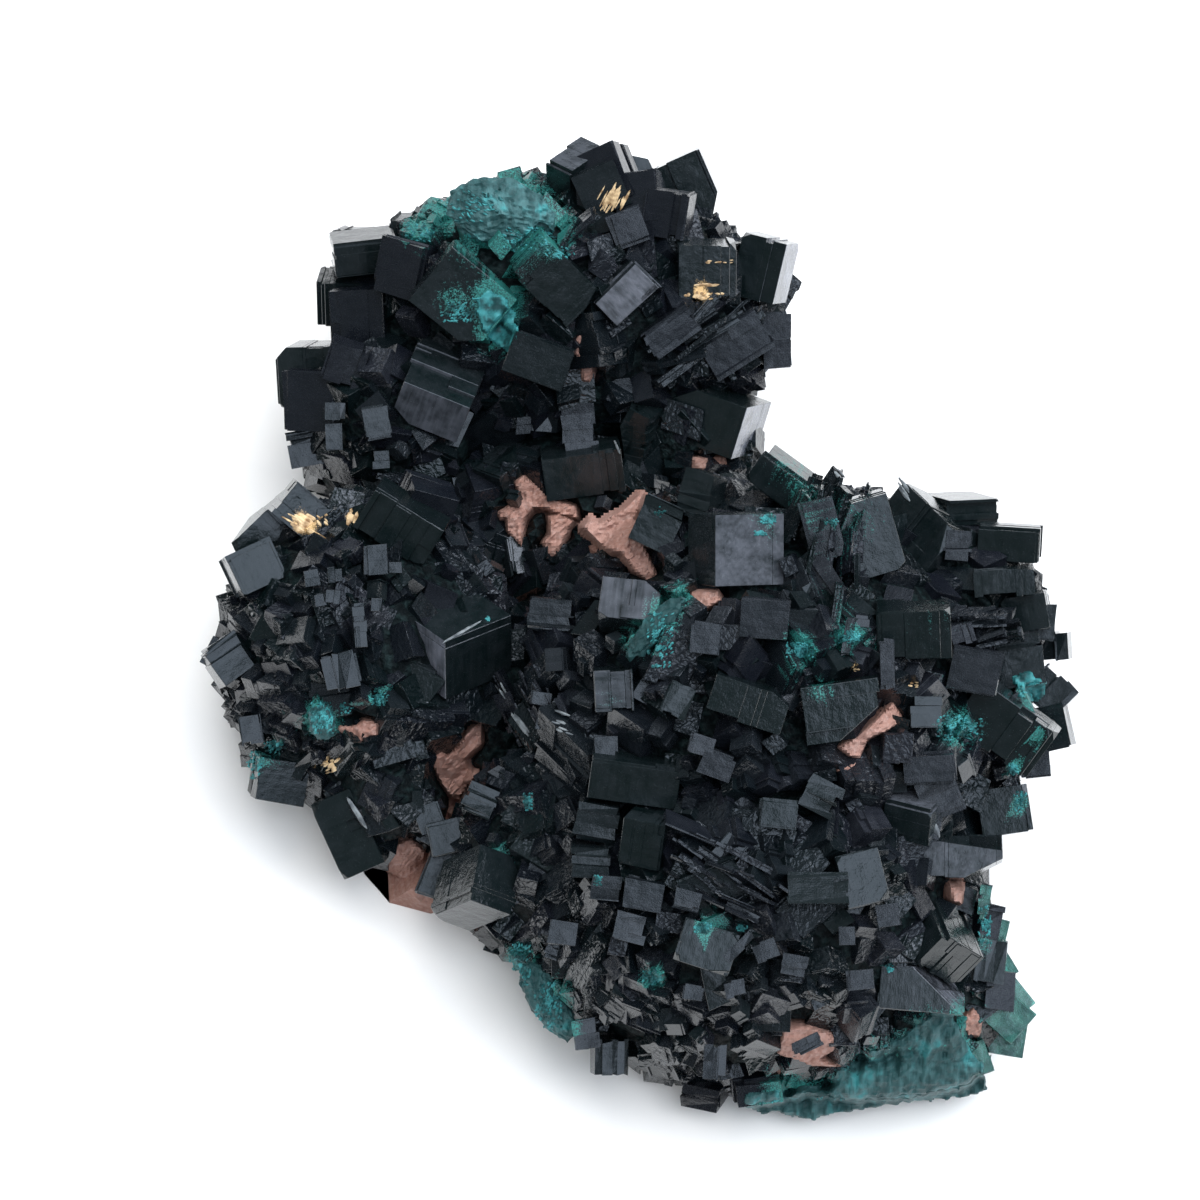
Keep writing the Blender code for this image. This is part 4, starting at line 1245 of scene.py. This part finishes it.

# Painted shade on each crust: darker in the valley, at the foot and on the left, where less light
# falls, and none on the crown.
CRUST_SHADES = {
    "crust_crown": 0.0, "crust_valley": 0.75, "crust_left_lobe": 0.4, "crust_left_edge": 0.3,
    "crust_foot": 0.7,
}
for node, dark in CRUST_SHADES.items():
    crust = node_form(node)
    split_long_edges(crust, lambda points: np.full(len(points), 0.5))
    crust.normal_update()
    for vert in crust.verts:
        fibre = noise.noise(Vector((vert.co.x * 1.0, vert.co.y * 3.2, vert.co.z * 2.0)))
        crumb = noise.fractal(vert.co * 1.6, 0.8, 2.0, 3)
        vert.co += vert.normal * (0.22 * fibre + 0.2 * crumb - 0.35)
    keep_above(crust, 0.5)
    piece = finished_piece(node + "_fibres", crust, chrysocolla, "chrysocolla", node)
    store(piece.data, "shade", dark)

# ---------------------------------------------------------------------------------------------
# Coats, crumbs and flecks on the faces of the crystals: continuous coats and loose crumbs of
# chrysocolla, flecks of iron stain, and thin pale strips along some edges, painted glints. All lie
# on the faces that are seen from the display viewpoint.

# Crumbs, flecks and strips: middle on the sheet and half-sizes of their patch, how many, and the
# length, width and angle of one.
TEAL_CRUMBS = [
    (322, 718, 10, 15, 147, 5, 2.5, 70), (379, 698, 9, 7, 63, 4, 2.5, 30),
    (347, 708, 6, 5, 25, 3, 2.5, 0), (255, 765, 8, 13, 84, 4, 2.5, 60),
    (273, 748, 9, 7, 55, 4, 2.5, 30), (488, 619, 3, 2, 21, 3, 2.5, 0),
    (768, 519, 7, 4, 71, 3, 2.5, 0), (760, 533, 6, 2, 50, 3, 2.5, 0),
    (528, 802, 4, 8, 76, 3, 2.5, 60), (832, 522, 6, 5, 25, 3, 2.5, 70),
    (800, 650, 13, 7, 189, 3, 2.5, 10), (850, 637, 12, 6, 92, 3, 2.5, -20),
    (1029, 688, 10, 5, 147, 3, 2.5, 0), (1013, 770, 5, 6, 67, 3, 2.5, 80),
    (960, 728, 22, 12, 147, 4, 2.5, 20), (1020, 802, 6, 10, 55, 3, 2.5, 80),
    (703, 928, 8, 5, 105, 3, 2.5, 10), (652, 977, 9, 7, 105, 3, 2.5, 20),
    (742, 928, 5, 3, 29, 3, 2.5, 0), (598, 880, 4, 5, 25, 3, 2.5, 0),
    (889, 968, 4, 4, 25, 3, 2.5, 0), (520, 965, 10, 20, 189, 4, 2.5, 60),
    (548, 1005, 13, 22, 210, 4, 2.5, 60), (660, 640, 12, 26, 126, 5, 2.5, 55),
    (462, 312, 20, 9, 105, 5, 2.5, 25), (530, 240, 26, 12, 105, 6, 2.5, -25),
    (470, 205, 30, 16, 84, 6, 2.5, -25), (420, 232, 14, 9, 63, 5, 2.5, -20),
    (560, 252, 14, 8, 50, 5, 2.5, -30), (800, 1103, 44, 8, 231, 4, 2.5, 75),
    (660, 512, 5, 5, 21, 3, 2.5, 0), (985, 925, 6, 18, 63, 4, 2.5, 80),
]
GOLD_FLECKS = [
    (303, 524, 14, 9, 18, 22, 5, -35), (321, 519, 5, 5, 6, 9, 4, -50),
    (352, 517, 5, 6, 8, 16, 5, 80), (330, 765, 9, 7, 14, 9, 5, 30),
    (613, 198, 12, 9, 30, 22, 3, 62), (704, 296, 18, 3, 26, 7, 4, 0),
    (706, 285, 16, 1, 9, 14, 3, 2), (720, 262, 12, 2, 8, 8, 2, 5), (914, 686, 4, 6, 5, 5, 3, 0),
    (856, 668, 4, 3, 4, 4, 2, 0),
]
# Strips painted pale grey along edges, as painted glints of light on them.
EDGE_GLINT_STRIPS = [
    (617, 447, 0, 0, 1, 74, 6, -74), (462, 632, 0, 0, 1, 56, 8, 27),
    (357, 813, 0, 0, 1, 56, 5, -58), (520, 726, 3, 6, 5, 34, 4, -52),
    (502, 690, 3, 4, 3, 22, 3, -60), (936, 829, 1, 1, 2, 24, 9, -70),
    (905, 488, 4, 6, 4, 26, 4, -56), (846, 470, 8, 6, 6, 24, 4, -55),
    (560, 720, 12, 16, 6, 16, 4, -20),
]


def blotched_finish(name, roughness, scale, dark, light):
    """Material of this roughness whose colour varies between two, in blotches."""
    made, shader, wire = new_finish(name, {"Roughness": roughness})
    blotches = wire.speckle(wire.place(), scale, 4.0).band(0.35, 0.65)
    blotches.mix(dark, light).feed(shader, "Base Color")
    return made


chrysocolla_crumbs = blotched_finish(
    "chrysocolla_crumbs", 0.55, 900.0, (0.006, 0.04, 0.043, 1), (0.045, 0.26, 0.28, 1)
)
iron_stain = blotched_finish(
    "iron_stain", 0.4, 1200.0, (0.22, 0.13, 0.06, 1), (0.75, 0.56, 0.33, 1)
)
# Pale grey of the edge strips: a painted highlight.
painted_edge_glint = blotched_finish(
    "painted_edge_glint", 0.25, 800.0, (0.06, 0.07, 0.08, 1), (0.22, 0.25, 0.27, 1)
)

depsgraph = bpy.context.evaluated_depsgraph_get()
surfaces = [
    BVHTree.FromObject(piece, depsgraph) for piece in bpy.context.scene.objects
    if piece.name.endswith(("_grown", "_fibres")) or piece.name.startswith("druse_")
]


def face_seen(x, y):
    """First face behind a point of the sheet: the place there and the face's direction."""
    direction = sheet_direction(x, y).normalized()
    found = []
    for surface in surfaces:
        place, outward, _, distance = surface.ray_cast(VIEWPOINT * MM, direction)
        if place is not None:
            found.append((distance, place / MM, outward))
    return min(found, key=lambda entry: entry[0])[1:] if found else None


def add_flake(form, seen, lean, length, width, thick):
    """Add a flat flake of this size on a face that is seen, turned by an angle on the sheet."""
    place, outward = seen
    along = VIEW_RIGHT * math.cos(lean) + VIEW_UP * math.sin(lean)
    along -= VIEW_BACK * (along.dot(outward) / max(VIEW_BACK.dot(outward), 0.4))
    along -= outward * along.dot(outward)
    stretch = min(along.length, 1.4)
    along.normalize()
    axes = Matrix((along, outward.cross(along), outward)).transposed()
    fit = (axes @ Matrix.Diagonal([length * stretch, width, thick])).to_4x4()
    fit.translation = place
    bmesh.ops.create_icosphere(form, subdivisions=1, radius=1.0, matrix=fit)


def scattered_flakes(rng, rows, thick, spread):
    """Flat flakes that lie on the faces seen at patches of the sheet, as one bmesh. The spread is
    that of their angles on the sheet, in degrees."""
    form = bmesh.new()
    for x, y, wide, tall, count, length, width, angle in rows:
        patch = bmesh.new()
        for _ in range(count):
            off, down = (max(-1, min(1, rng.gauss(0, 0.55))) for _ in range(2))
            seen = face_seen(x + off * wide, y + down * tall)
            if seen is None:
                continue
            lean = math.radians(angle + rng.gauss(0, spread))
            half_length = length * rng.uniform(0.5, 1.2) / 20
            half_width = width * rng.uniform(0.5, 1.2) / 20
            add_flake(patch, seen, lean, half_length, half_width, thick)
        join(form, patch)
    return form


# Continuous coats of chrysocolla: outline on the sheet, finish, how much painted shade darkens it
# and how rough it is.
COATS = {
    "foot": ([(745, 1093), (780, 1090), (820, 1084), (840, 1070), (857, 1059), (888, 1043),
              (926, 1019), (941, 1004), (954, 1013), (969, 1047), (983, 1065), (986, 1090),
              (963, 1097), (913, 1101), (857, 1110), (808, 1119), (745, 1108)],
             chrysocolla, 0.35, 1.0),
    "crown": ([(474, 298), (492, 290), (508, 300), (516, 318), (519, 338), (508, 350), (494, 344),
               (482, 330), (478, 312)], chrysocolla_crumbs, 0.0, 0.3),
    "slope": ([(1012, 676), (1030, 672), (1048, 684), (1040, 700), (1018, 698)],
              chrysocolla_crumbs, 0.1, 0.4),
}
COAT_GRAIN = 2.2
COAT_GRID_RIM = 8
COAT_THICK = 1.5
for name, (outline, finish, dark, rough) in COATS.items():
    coat, xs, ys, gaps = sheet_patch(outline, COAT_GRID_RIM, COAT_GRAIN)
    levels = surface_depth(xs, ys)
    for index, (x, y) in enumerate(zip(xs, ys)):
        seen = face_seen(x, y)
        if seen:
            levels[index] = (VIEWPOINT - seen[0]).dot(VIEW_BACK)
    usual = np.median(levels[gaps < 0])
    lay_patch(coat, xs, ys, np.clip(levels, usual - 5, usual + 5), 3)
    outside = []
    for vert, x, y, gap in zip(coat.verts, xs, ys, gaps):
        ragged = gap + 4 * noise.noise(Vector((x * 0.12, y * 0.12, 0)))
        if ragged > 1.5:
            outside.append(vert)
        fibres = 0.45 * noise.noise(Vector((x * 0.16, y * 0.035, 0)))
        fibres += 0.25 * noise.noise(vert.co * 2.0)
        rise = min(max(-ragged / 5, -1), 0.25)
        vert.co += VIEW_BACK * (rise * 1.6 + fibres * rough)
    close_patch(coat, outside, COAT_THICK, 0.5)
    piece = finished_piece("chrysocolla_coat_" + name, coat, finish, "chrysocolla", "druse")
    # Painted shade of the coat, which the chrysocolla finish reads.
    store(piece.data, "shade", dark)

rng = random.Random(41)
crumbs = scattered_flakes(rng, TEAL_CRUMBS, 0.14, 20)
finished_piece("chrysocolla_crumbs", crumbs, chrysocolla_crumbs, "chrysocolla", "druse")
flecks = scattered_flakes(rng, GOLD_FLECKS, 0.06, 4)
finished_piece("iron_stain_flecks", flecks, iron_stain, "pink_dolomite", "druse")
# Painted glints along edges, as thin pale strips.
strips = scattered_flakes(rng, EDGE_GLINT_STRIPS, 0.15, 2)
finished_piece("painted_edge_glint_strips", strips, painted_edge_glint, "dioptase_druse", "druse")
